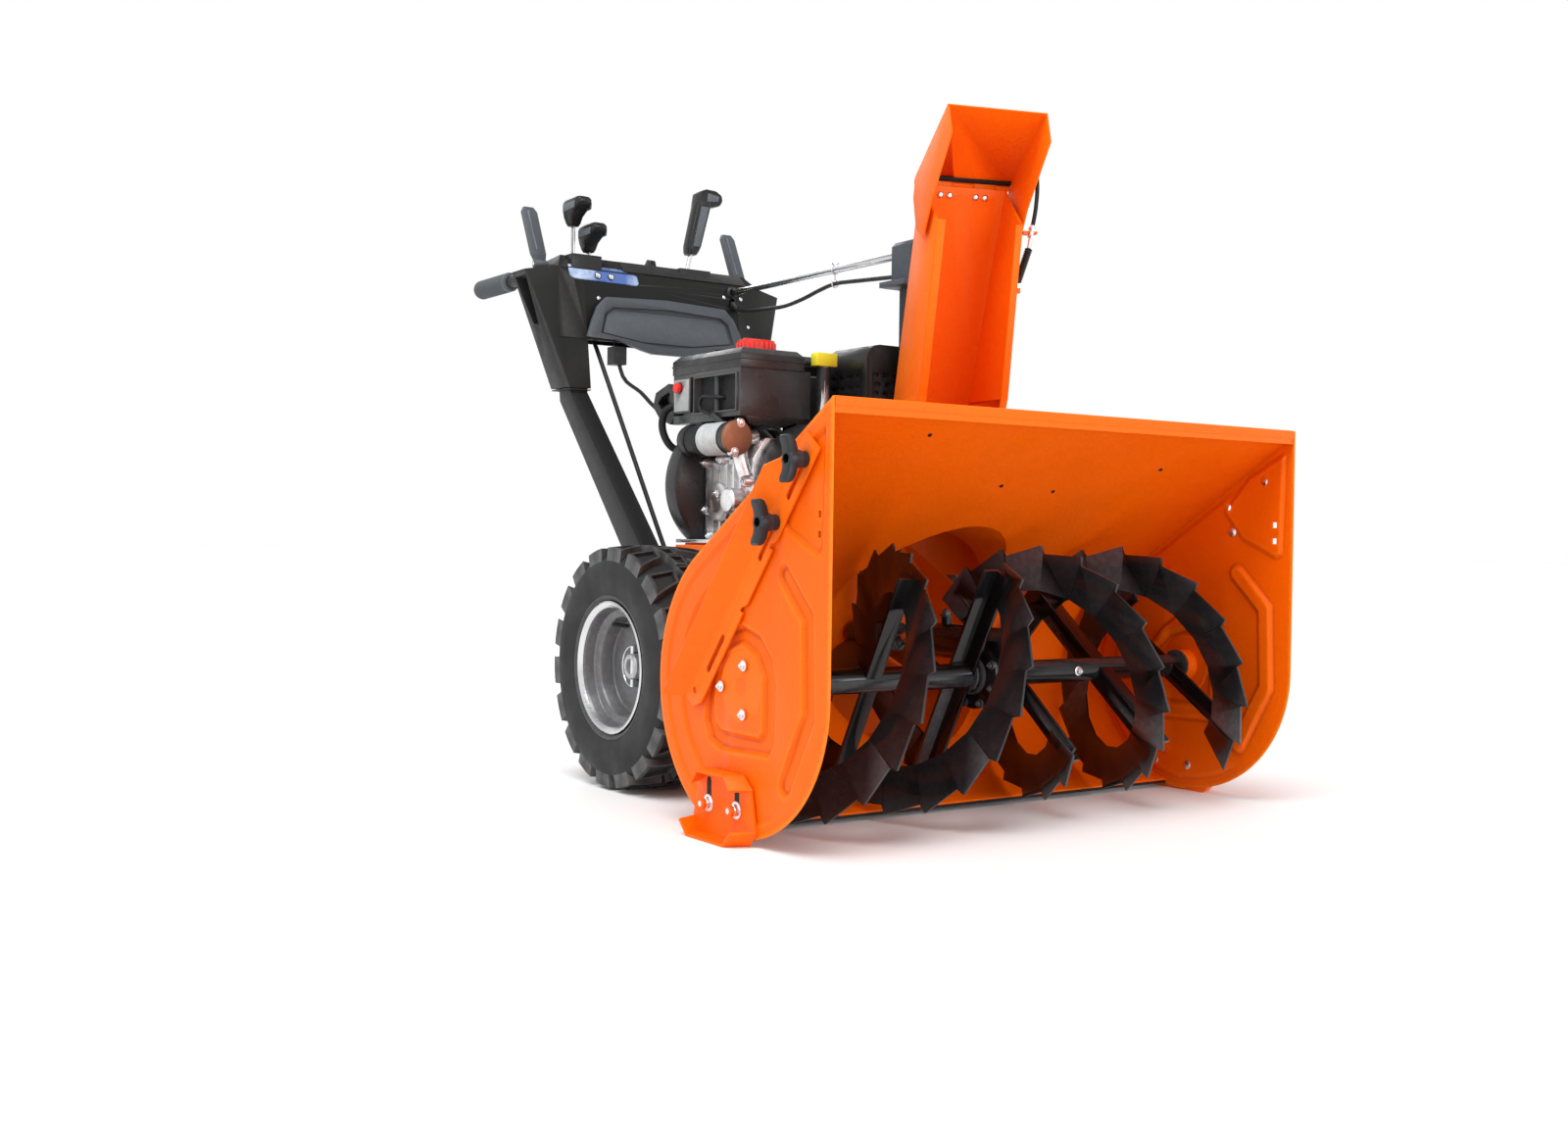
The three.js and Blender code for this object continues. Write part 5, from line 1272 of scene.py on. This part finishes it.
def slot_lever(name, x, y, low, high):
    """A flat steel stick with a moulded knob that has an inset of another plastic."""
    outline = [(y - 6, low), (y + 6, low), (y + 6, high - 50), (y - 6, high - 50)]
    stick = prism(f"{name}_stick", outline, "x", x - 2, x + 2)
    pivot = lathe(f"{name}_pivot", [(-6, 8), (6, 8)], at(x, y, low + 6), (1, 0, 0), 20)
    whole = bevelled(joined(f"{name}_blade", [stick, pivot]), 0.6)
    finished(whole, "steel", name, 30)
    base = high - 62
    # Each step of the knob: its height, its reach forward and back, and its half width.
    knob_steps = [
        (7, -9, 9, 9), (13, -12, 12, 12.6), (26, -18, 18, 15.6), (38, -38, 20, 18.4),
        (48, -52, 20.6, 19), (55, -53, 19, 18), (60, -48, 14, 15), (62, -43, 8, 10),
    ]
    rows = [
        (x, y + (front + back) / 2, base + rise, half, (back - front) / 2)
        for rise, front, back, half in knob_steps
    ]
    knob = bevelled(rounded_stack(f"{name}_knob", rows, 0.45), 1.2, 2, 40)
    finished(knob, "engine_plastic", name, 50)
    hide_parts(name)
    for side in (-1, 1):
        outline = [(y - 40, high - 24), (y + 9, high - 27), (y + 9, high - 11), (y - 42, high - 11)]
        inset = prism(f"{name}_inset_{side}", outline, "x", x + side * 17.4, x + side * 19.6)
        finished(bevelled(inset, 0.7), "slate", name)
    # A near-black ring where the knob's hole is: painted shade in the hole.
    eye_profile = [(-0.6, 3.4), (1.2, 3.4), (1.2, 1.8), (-0.6, 1.8)]
    hole = lathe(f"{name}_eye", eye_profile, at(x, y - 52.4, high - 15), (0, -1, 0.1), 18, True)
    finished(hole, "dark", name)


def rounded_stack(name, rows, corner):
    """A shape through rounded rectangles: each row is a centre in x, y and z, and two half widths."""
    sides = 28
    points = []
    for x, y, z, half_x, half_y in rows:
        for turn in turns_round(sides):
            cos, sin = math.cos(turn), math.sin(turn)
            across = half_x * math.copysign(abs(cos) ** corner, cos)
            along = half_y * math.copysign(abs(sin) ** corner, sin)
            points.append(at(x + across, y + along, z))
    return outwards(mesh_object(name, points, ring_faces(len(rows), sides)))


def chute_lever():
    """The leaning lever that turns the chute: a steel stem, a grip with two insets and a head with a cap."""
    x, y, z, lean = 77, 1268, 945, 0.24

    def lift(amount):
        return x + amount * lean, z + amount

    stem_top = lift(92)
    stem = tube("chute_lever_stem", [at(x, y, z), at(stem_top[0], y, stem_top[1])], 4.5, 16)
    eye = lathe("chute_lever_eye", [(-6, 9), (6, 9)], at(x, y, z), (0, 1, 0), 24)
    whole = joined("chute_lever_steel", [stem, eye])
    finished(whole, "steel", "chute_lever", 30)
    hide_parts("chute_lever")
    grip_steps = [
        (74, 11, 12), (80, 14, 15), (92, 17, 16.6), (140, 17.8, 17.4), (176, 18.6, 18), (186, 19, 18.4),
    ]
    rows = []
    for amount, half_x, half_y in grip_steps:
        middle, height = lift(amount)
        rows.append((middle, y, height, half_x, half_y))
    handle = rounded_stack("chute_lever_grip", rows, 0.6)
    top_x, top_z = lift(190)

    def head_part(name, outline, half):
        return prism(name, [(top_x + u, top_z + v) for u, v in outline], "y", y - half, y + half)

    head_outline = [(-20, -14), (16, -12), (37, -7), (43, 4), (41, 16), (26, 24), (2, 25), (-15, 18)]
    head = bevelled(head_part("chute_lever_head", head_outline, 17), 5, 4, 25)
    finished(joined("chute_lever_handle", [handle, head]), "engine_plastic", "chute_lever", 50)
    foot_x, foot_z = lift(90)
    neck_x, neck_z = lift(176)
    inset_outline = [(foot_x - 8, foot_z), (foot_x + 8, foot_z), (neck_x + 9, neck_z), (neck_x - 9, neck_z)]
    for side in (-1, 1):
        inset = prism(f"chute_lever_inset_{side}", inset_outline, "y", y + side * 17.2, y + side * 19.4)
        finished(bevelled(inset, 0.8), "slate", "chute_lever")
    cap = head_part("chute_lever_cap", [(2, -2), (30, 1), (32, 12), (4, 16)], 18.2)
    finished(bevelled(cap, 0.8), "slate", "chute_lever")


def grips():
    """A ribbed grip on each handlebar, with a cap on its end and the bar inside it."""
    profile = [(0, 12.6), (0, 17), (2, 19.4), (6, 20)]
    for k in range(30):
        start = 10 + k * 4.3
        profile += [(start, 20), (start + 0.9, 19.0), (start + 2.2, 19.0), (start + 3.1, 20)]
    profile += [(142, 20), (146, 19), (148, 16), (148, 12.6)]
    cap_profile = [(0, 12.6), (2.6, 12.6), (3.4, 11.8), (3.4, 3), (2, 2)]
    for side, name in SIDE_NAMES.items():
        x = side * GRIP_X
        grip = lathe(f"grip_{name}", profile, at(x, 1412, GRIP_Z), (0, 1, 0), 40, True)
        finished(grip, "slate", "machine", 30)
        cap = lathe(f"grip_cap_{name}", cap_profile, at(x, GRIP_END_Y, GRIP_Z), (0, 1, 0), 36)
        finished(cap, "slate", "machine", 30)
        bar = tube(f"grip_tube_{name}", [at(x, 1262, GRIP_Z), at(x, GRIP_END_Y, GRIP_Z)], 12.6, 32)
        finished(bar, "leg", "machine", 30)
        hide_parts(f"handle_grip_{name}")


def leg_details():
    bolts = []
    for side in (-1, 1):
        for y, z in ((846, 348), (884, 392)):
            bolts.append(hex_bolt(f"leg_bolt_{side}_{z}", at(side * 227.2, y, z), (side, 0, 0), 14, 8))
    one_piece("leg_bolts", bolts)


def cables():
    """The clutch cables as smooth round tubes along the same routes, with their metal ends."""
    route = [(1238, 846), (1228, 816), (1200, 776), (1060, 576), (945, 412), (888, 336), (856, 300)]
    for side, name in SIDE_NAMES.items():
        x = side * 154
        line = smooth_line([at(x, y, z) for y, z in route], 8)
        cable = tube(f"clutch_cable_{name}_sleeve", line, 4.4, 14)
        finished(cable, "rubber", "machine")
        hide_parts(f"clutch_cable_{name}")
        end = lathe(f"cable_end_{name}", [(0, 6.5), (22, 6.5), (26, 5)], at(x, 856, 300), (0, 0.66, 0.75), 20)
        finished(end, "zinc", "machine", 30)


def rod_hanger():
    """The wire clip that hangs the deflector cable from the chute rod."""
    hanger_y = 813
    rod_start, rod_end = 580, 1205
    share = (hanger_y - rod_start) / (rod_end - rod_start)
    rod_x, rod_z = 124 + 46.6 * share, 928 + 13 * share

    def on_rod(across, up):
        return at(rod_x + across, hanger_y, rod_z + up)

    def open_ring(radius, drop, gap, count):
        turns = np.linspace(gap, 2 * math.pi - gap, count)
        return [on_rod(radius * math.sin(t), radius * math.cos(t) - drop) for t in turns]

    top = [on_rod(8, 14), *open_ring(8.2, 0, 0.35, 22), on_rod(-8, 14)]
    parts = [
        tube("hanger_top", top, 1.5, 8),
        tube("hanger_low", open_ring(7, 26, 0.4, 18), 1.5, 8),
        tube("hanger_link", [on_rod(0, -8), on_rod(0, -19)], 1.5, 8),
    ]
    one_piece("cable_hanger", parts)


# ---------------------------------------------------------------- knobs and drift cutters


KNOB_OUTER = [(34, 31), (35.5, 28), (34.5, 23), (31.5, 16), (30.5, 8), (30.5, 0)]
KNOB_INNER = [(16, 0), (16, 7), (17.5, 14), (20, 22), (24, 28.5), (29, 31)]


def cutter_knob(side, y, z, index):
    """A hand knob: a bowed wing with curled ends on a narrow hub, and a hexagonal socket in its middle."""
    name = SIDE_NAMES[side]
    body = f"cutter_knob_{name}_{index}"
    low = PANEL_OUTER + 3.6
    upper = [*KNOB_INNER, *KNOB_OUTER[:-1]]
    lower = [(x, -height) for x, height in reversed(upper)]
    outline = [(side * (low + x), z + height) for x, height in [*upper, KNOB_OUTER[-1], *lower[:-1]]]
    wing = prism(body + "_wing", outline, "y", y - 9, y + 9)
    bevelled(wing, 3.4, 3, 28)

    def turned(ending, profile, steps):
        return lathe(body + ending, profile, at(side * low, y, z), (side, 0, 0), steps)

    collar = turned("_collar", [(10, 12), (19, 12.6), (28, 12), (30, 10.6)], 36)
    hub = turned("_hub", [(0, 10.5), (2, 11), (8, 10), (16, 9.6)], 36)
    for part in (wing, collar):
        cut_by(part, turned("_socket", [(22, 7.2), (40, 7.2)], 6))
    knob = joined(body + "_shape", [wing, collar, hub])
    finished(knob, "slate_dark", body, 40)
    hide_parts(body)
    # A near-black disc at the bottom of the socket: painted shade.
    finished(turned("_socket_shade", [(21.6, 7), (22.6, 7)], 24), "dark", body)
    stem = tube(body + "_stem", [at(side * (PANEL_HALF - 4), y, z), at(side * (low + 4), y, z)], 4, 14)
    head = dome_head(body + "_head", at(side * (PANEL_HALF - 0.4), y, z), (-side, 0, 0), 9, 5.6)
    finished(joined(body + "_bolt", [stem, head]), "zinc", body, 30)


def drift_cutter(side):
    """The cutter's arm with two notches for its knobs and a hole near its end."""
    name = SIDE_NAMES[side]
    top_y, top_z = 36, 548
    run_y, run_z = 328 - top_y, 180 - top_z
    length = math.hypot(run_y, run_z)
    ahead = (run_y / length, run_z / length)
    across = (-ahead[1], ahead[0])

    def on(run, off):
        return top_y + ahead[0] * run + across[0] * off, top_z + ahead[1] * run + across[1] * off

    notch = [(-26, -20), (-2, -20), (1, -8), (-7, -8.5), (-9, -12)]
    outlines = [[on(length * share + run, off) for run, off in notch] for share in (0.36, 0.60)]
    outlines.append(ring_points(on(length - 22, 8), 5, 18))
    piece = copy_of(f"drift_cutter_{name}")
    low, high = side * (PANEL_OUTER - 2), side * (PANEL_OUTER + 8)
    for k, outline in enumerate(outlines):
        cut_by(piece, prism(f"cutter_hole_{side}_{k}", outline, "x", low, high))
    bevelled(piece, 0.9, 2, 28)
    finished(piece, "orange", f"drift_cutter_{name}", 34)
    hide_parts(f"drift_cutter_{name}")


# ---------------------------------------------------------------- engine


def engine_details():
    heater_box()
    heater_hoses()
    heater_skirt()
    tank_details()
    castings()
    dipstick_details()
    starter_details()
    muffler_guard()
    recoil_details()


def heater_box():
    """The heater box with its sunk side and the panel round its switch."""
    piece = copy_of("heater_box")
    recess = prism("heater_recess", [(668, 643), (802, 643), (802, 704), (668, 704)], "x", -190, -160)
    cut_by(piece, recess)
    triangulated(piece)
    bevelled(piece, 1.4, 2, 28)
    finished(piece, "box_side", "machine", 40)
    piece.data.materials.append(LOOKS["engine_plastic"])
    for polygon in piece.data.polygons:
        polygon.material_index = 0 if polygon.normal.x < -0.5 else 1
    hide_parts("heater_box")
    plate = prism("switch_panel", [(815, 648), (865, 648), (865, 705), (815, 705)], "x", -180.4, -177.2)
    hole = prism("switch_panel_hole", ring_points((845, 690), 9.6, 24), "x", -184, -176)
    cut_by(plate, hole)
    finished(bevelled(plate, 1.2, 2), "panel", "machine", 34)
    # A near-black plate at the back of the recess: painted shade.
    inside = box("heater_recess_shade", (-161, 669, 644), (-158.5, 801, 703))
    finished(inside, "dark", "machine")


def heater_hoses():
    """The hose and pipe in front of the heater box, and the breather hose that hangs behind it."""
    route = [
        (-158, 721, 667), (-170, 728, 667), (-178, 744, 669), (-180, 764, 670), (-182, 774, 660),
        (-182, 769, 647), (-181, 748, 640), (-178, 726, 631), (-174, 714, 622),
    ]
    hose = tube("heater_hose", smooth_line([at(*point) for point in route], 8), 3.4, 14)
    sleeve = tube("heater_hose_sleeve", [at(-179, 734, 635), at(-173, 711, 620)], 5.6, 16)
    pipe = tube("heater_pipe", [at(-168, 737, 641), at(-168, 737, 706)], 5, 14)
    finished(joined("heater_hoses", [hose, sleeve]), "rubber", "machine")
    finished(pipe, "slate_dark", "machine")
    breather = [
        (-168, 870, 664), (-186, 886, 650), (-188, 892, 620),
        (-176, 886, 590), (-150, 876, 574), (-120, 870, 566),
    ]
    side_hose = tube("breather_hose", smooth_line([at(*point) for point in breather], 8), 7, 16)
    finished(side_hose, "rubber", "machine")


def heater_skirt():
    """The skirt under the heater box, and a plain block for the dark parts behind the dipstick."""
    skirt_outline = [(-165, 640), (-30, 640), (-34, 630), (-89, 612), (-150, 620)]
    skirt = prism("heater_skirt", skirt_outline, "y", 660, 700)
    finished(bevelled(skirt, 2.0, 2), "engine_plastic", "machine", 40)
    filler = box("box_filler", (-24, 700, 596), (180, 745, 712))
    finished(bevelled(filler, 2.0), "engine_plastic", "machine")


def tank_details():
    shown("fuel_tank", "engine_plastic", 6, 40)
    seam = [(-173.5, 655.5), (-36.5, 655.5), (-36.5, 704.5), (41.5, 704.5), (41.5, 885.5), (-173.5, 885.5)]
    band = prism("tank_seam", seam, "z", 729, 732)
    finished(bevelled(band, 1.0), "engine_plastic", "machine", 40)
    shown("fuel_cap", "red", 3, 40)
    ribs = []
    for k, (x, y) in enumerate(ring_points((-78, 752), 34, 24)):
        ribs.append(tube(f"cap_rib_{k}", [at(x, y, 752), at(x, y, 770)], 2.2, 8))
    ribs.append(prism("cap_bar", [(-104, 746), (-52, 746), (-52, 758), (-104, 758)], "z", 773, 778))
    finished(bevelled(joined("fuel_cap_ribs", ribs), 0.8, 2, 50), "red", "fuel_cap", 40)
    shown("stop_switch", "red", 1.6, 40)


BLOCK_BOSSES = [
    (676, 424), (728, 424), (784, 424), (830, 424), (676, 520), (700, 556),
    (752, 560), (806, 556), (834, 520), (760, 500), (800, 470),
]


def castings():
    """The engine block with the bosses, ribs and bolts on its left side and the rail under it."""
    shown("engine_block", "casting", 2.2, 36)
    outwards_left = (-1, 0, 0)
    bosses = []
    bolts = []
    for y, z in BLOCK_BOSSES:
        boss = [(-6, 11), (10, 9.5), (12, 8)]
        bosses.append(lathe(f"boss_{y}_{z}", boss, at(BLOCK_LEFT + 2, y, z), outwards_left, 22))
        bolts.append(hex_bolt(f"block_bolt_{y}_{z}", at(BLOCK_LEFT - 9.6, y, z), outwards_left, 10, 5))
    for k, y in enumerate(range(690, 840, 22)):
        rib = [(y, 430), (y + 5, 430), (y + 5, 552), (y, 552)]
        bosses.append(prism(f"block_rib_{k}", rib, "x", BLOCK_LEFT - 5, BLOCK_LEFT + 14))
    big = [(0, 34), (8, 34), (10, 31), (10, 20), (6, 18), (6, 6), (9, 4)]
    bosses.append(lathe("big_boss", big, at(BLOCK_LEFT - 2, 760, 486), outwards_left, 40))
    filter_boss = [(0, 22), (26, 22), (29, 19)]
    bosses.append(lathe("filter_boss", filter_boss, at(BLOCK_LEFT - 6, 690, 486), outwards_left, 34))
    pipe = [at(-120, 690, 600), at(-150, 684, 590), at(-158, 676, 560), at(-150, 672, 530)]
    bosses.append(tube("intake_pipe", smooth_line(pipe, 8), 13, 18))
    finished(joined("engine_bosses", bosses), "casting", "machine", 34)
    for k in range(8):
        turn = math.radians(22.5 + 45 * k)
        x, z = CRANK_X + 64 * math.cos(turn), CRANK_Z + 64 * math.sin(turn)
        bolts.append(hex_bolt(f"cover_bolt_{k}", at(x, BLOCK_FRONT + 0.4, z), (0, -1, 0), 10, 5))
    one_piece("engine_bolts", bolts)
    rail = box("engine_rail", (-176, 660, 412), (-60, 860, 418))
    cut_by(rail, box("rail_slot", (-168, 700, 405), (-150, 740, 425)))
    finished(bevelled(rail, 1.0), "steel", "machine", 30)


def dipstick_details():
    """The dipstick in its tube, and the big disc behind the engine."""
    shown("dipstick", "yellow", 3, 36)
    stick_tube = tube("dipstick_tube", [at(12, 674, 600), at(12, 668.1, 727.6)], 12.4, 24)
    cut_by(stick_tube, tube("dipstick_bore", [at(12, 667.8, 740), at(12, 672.4, 602)], 6, 20))
    finished(stick_tube, "guard", "machine")
    fan_profile = [(0, 30), (0, 116), (6, 126), (26, 129), (40, 126), (40, 30)]
    fan = lathe("engine_fan_disc", fan_profile, at(-78, 812, 516), (0, 1, 0), 72, True)
    finished(fan, "engine_plastic", "machine", 34)


def starter_details():
    """The starter motor with its bands, its copper cap and two screws."""
    shown("starter_motor", "guard", 2, 36)

    def turned(name, profile, y, look):
        piece = lathe(name, profile, at(STARTER_X, y, STARTER_Z), (0, 1, 0), 44, True)
        finished(piece, look, "machine", 34)

    turned("starter_band", [(0, 28.1), (0, 28.8), (66, 28.8), (66, 28.1)], 690, "panel")
    turned("starter_dark_band", [(0, 28.1), (0, 29.4), (14, 29.4), (14, 28.1)], 758, "dark")
    profile = [(-4, 30.6), (0, 30.6), (2, 29.4), (2.6, 27), (2.6, 3)]
    cap = lathe("starter_cap", profile, at(STARTER_X, STARTER_FRONT, STARTER_Z), (0, -1, 0), 44)
    finished(cap, "copper", "machine", 34)
    ears = []
    for sign in (-1, 1):
        x, z = STARTER_X + sign * 6, STARTER_Z + sign * 25
        ear = [(-8, 9), (1, 9), (3, 7.6)]
        ears.append(lathe(f"starter_ear_{sign}", ear, at(x, STARTER_FRONT, z), (0, -1, 0), 20))
        ears.append(hex_bolt(f"starter_screw_{sign}", at(x, STARTER_FRONT - 2, z), (0, -1, 0), 8, 4, False))
    one_piece("starter_screws", ears)


def muffler_guard():
    """The guard with rows of slots on its front and slanted ones in its rounded top."""
    piece = copy_of("muffler_guard")
    tools = []
    for row in range(5):
        for column in range(6):
            x = 62 + column * 23 + (row % 2) * 4
            z = 648 + row * 16
            if x + 14 < 190:
                tools.append(prism(f"slot_{row}_{column}", rounded_slot(x, z, 14, 7), "y", 584, 593.8))
    for k in range(9):
        x = 60 + 15 * k
        slanted = [(x, 606), (x + 6, 606), (x + 18, 690), (x + 12, 690)]
        tools.append(prism(f"top_slot_{k}", slanted, "z", 762.2, 772))
    for row in range(4):
        for column in range(4):
            y, z = 606 + column * 24, 652 + row * 19
            tools.append(prism(f"side_slot_{row}_{column}", rounded_slot(y, z, 16, 7), "x", 44, 51.4))
            tools.append(prism(f"far_slot_{row}_{column}", rounded_slot(y, z, 16, 7), "x", 192.6, 200))
    cut_by(piece, joined("guard_slots", tools))
    bevelled(piece, 0.9, 2, 30)
    finished(piece, "guard", "machine", 36)
    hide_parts("muffler_guard")
    muffler = box("muffler_body", (60, 600, 642), (184, 690, 742))
    finished(bevelled(muffler, 10, 4), "panel", "machine", 40)


def rounded_slot(u, v, length, height):
    """An outline with round ends from (u, v), lying along u."""
    half = height / 2

    def round_end(middle, first):
        turns = np.linspace(first, first + math.pi, 5)
        return [(middle + half * math.cos(t), v + half * math.sin(t)) for t in turns]

    return round_end(u + length - half, -math.pi / 2) + round_end(u + half, math.pi / 2)


def recoil_details():
    """The recoil cover with its ring of vents, its hub and bolts, and the handle."""
    piece = copy_of("recoil_cover")

    def on_cover(radius, turn):
        return CRANK_X + radius * math.cos(turn), CRANK_Z + radius * math.sin(turn)

    tools = []
    for k, turn in enumerate(turns_round(18)):
        vent = ((46, -0.08), (92, -0.10), (92, 0.02), (46, 0.03))
        corners = [on_cover(radius, turn + swing) for radius, swing in vent]
        tools.append(prism(f"vent_{k}", corners, "y", 900, 930))
    cut_by(piece, joined("vents", tools))
    bevelled(piece, 1.6, 2, 28)
    finished(piece, "engine_plastic", "machine", 36)
    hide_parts("recoil_cover")
    hub = [(0, 30), (3, 30), (5, 27), (5, 24), (3.4, 22), (3.4, 2)]
    badge = lathe("recoil_hub", hub, at(CRANK_X, 921.6, CRANK_Z), (0, 1, 0), 44)
    finished(badge, "slate", "machine", 34)
    bolts = []
    for k in range(6):
        x, z = on_cover(120, math.radians(60 * k + 30))
        bolts.append(hex_bolt(f"recoil_bolt_{k}", at(x, 903, z), (0, 1, 0), 9, 5))
    one_piece("recoil_bolts", bolts)
    shown("recoil_handle", "engine_plastic", 3, 40)


def frame_details():
    """The bolts on the tractor frame's sides and the bearings of the wheels' axle."""
    bolts = []
    for side in (-1, 1):
        for y, z in ((590, 380), (620, 380), (590, 150), (700, 380), (820, 380), (820, 130)):
            place = at(side * FRAME_SIDE, y, z)
            bolts.append(hex_bolt(f"frame_bolt_{side}_{y}_{z}", place, (side, 0, 0), 12, 6))
        for y, z in ((WHEEL_Y - 40, WHEEL_Z), (WHEEL_Y + 40, WHEEL_Z)):
            place = at(side * (FRAME_SIDE + 5), y, z)
            bolts.append(hex_bolt(f"bearing_bolt_{side}_{y}", place, (side, 0, 0), 12, 6))
    one_piece("frame_bolts", bolts)
    plates = []
    profile = [(0, 13.6), (0, 54), (5, 54), (5, 30), (18, 26), (18, 13.6)]
    for side in (-1, 1):
        place = at(side * FRAME_SIDE, WHEEL_Y, WHEEL_Z)
        plates.append(lathe(f"axle_bearing_{side}", profile, place, (side, 0, 0), 44, True))
    one_piece("axle_bearings", plates, "leg")


place_camera()
light_the_studio()

for node, look, bevel in [
    ("housing_shell", "orange", 0.8),
    ("scraper_blade", "leg", 0.8),
    ("skid_shoe_left", "orange", 1.2),
    ("skid_shoe_right", "orange", 1.2),
    ("impeller_drum", "orange", 0.8),
    ("gear_case", "black", 2.5),
    ("drive_belt", "rubber", 1.0),
    ("belt_cover", "engine_plastic", 3.0),
    ("tractor_frame", "orange", 1.6),
    ("axle", "steel", 0.8),
    ("chute_gear_post", "post", 1.6),
    ("chute_gearbox", "post", 4.0),
    ("handlebar_left", "leg", 7.0),
    ("handlebar_right", "leg", 7.0),
    ("auger_shaft", "steel", 0.6),
    ("auger_rake_left", "black", 0.9),
    ("auger_rake_right", "black", 0.9),
    ("impeller", "black", 0.8),
    ("impeller_shaft", "steel", 0.6),
    ("crankshaft", "steel", 0.8),
    ("chute_spout", "orange", 0.7),
    ("chute_deflector", "orange", 0.7),
    ("chute_pinion", "steel", 0.5),
    ("chute_rod", "steel", 0.6),
]:
    shown(node, look, bevel)

for side in (-1, 1):
    side_panel(side)
    auger_bearing(side)
    wheel(side)
    drift_cutter(side)
    clutch_lever(side)
    for index, (y, z) in enumerate([(54, 525), (119, 443)]):
        cutter_knob(side, y, z, index + 1)
housing_details()
skid_shoe_details()
auger_details()
chute_details()
console_shell()
console_details()
bezel()
headlight()
slot_lever("speed_lever", -191, 1250, 936, 1096)
slot_lever("deflector_lever", -156, 1250, 936, 1048)
chute_lever()
grips()
leg_details()
cables()
rod_hanger()
engine_details()
frame_details()
for node in ("wiring_harness", "deflector_cable"):
    shown(node, "rubber", 0)
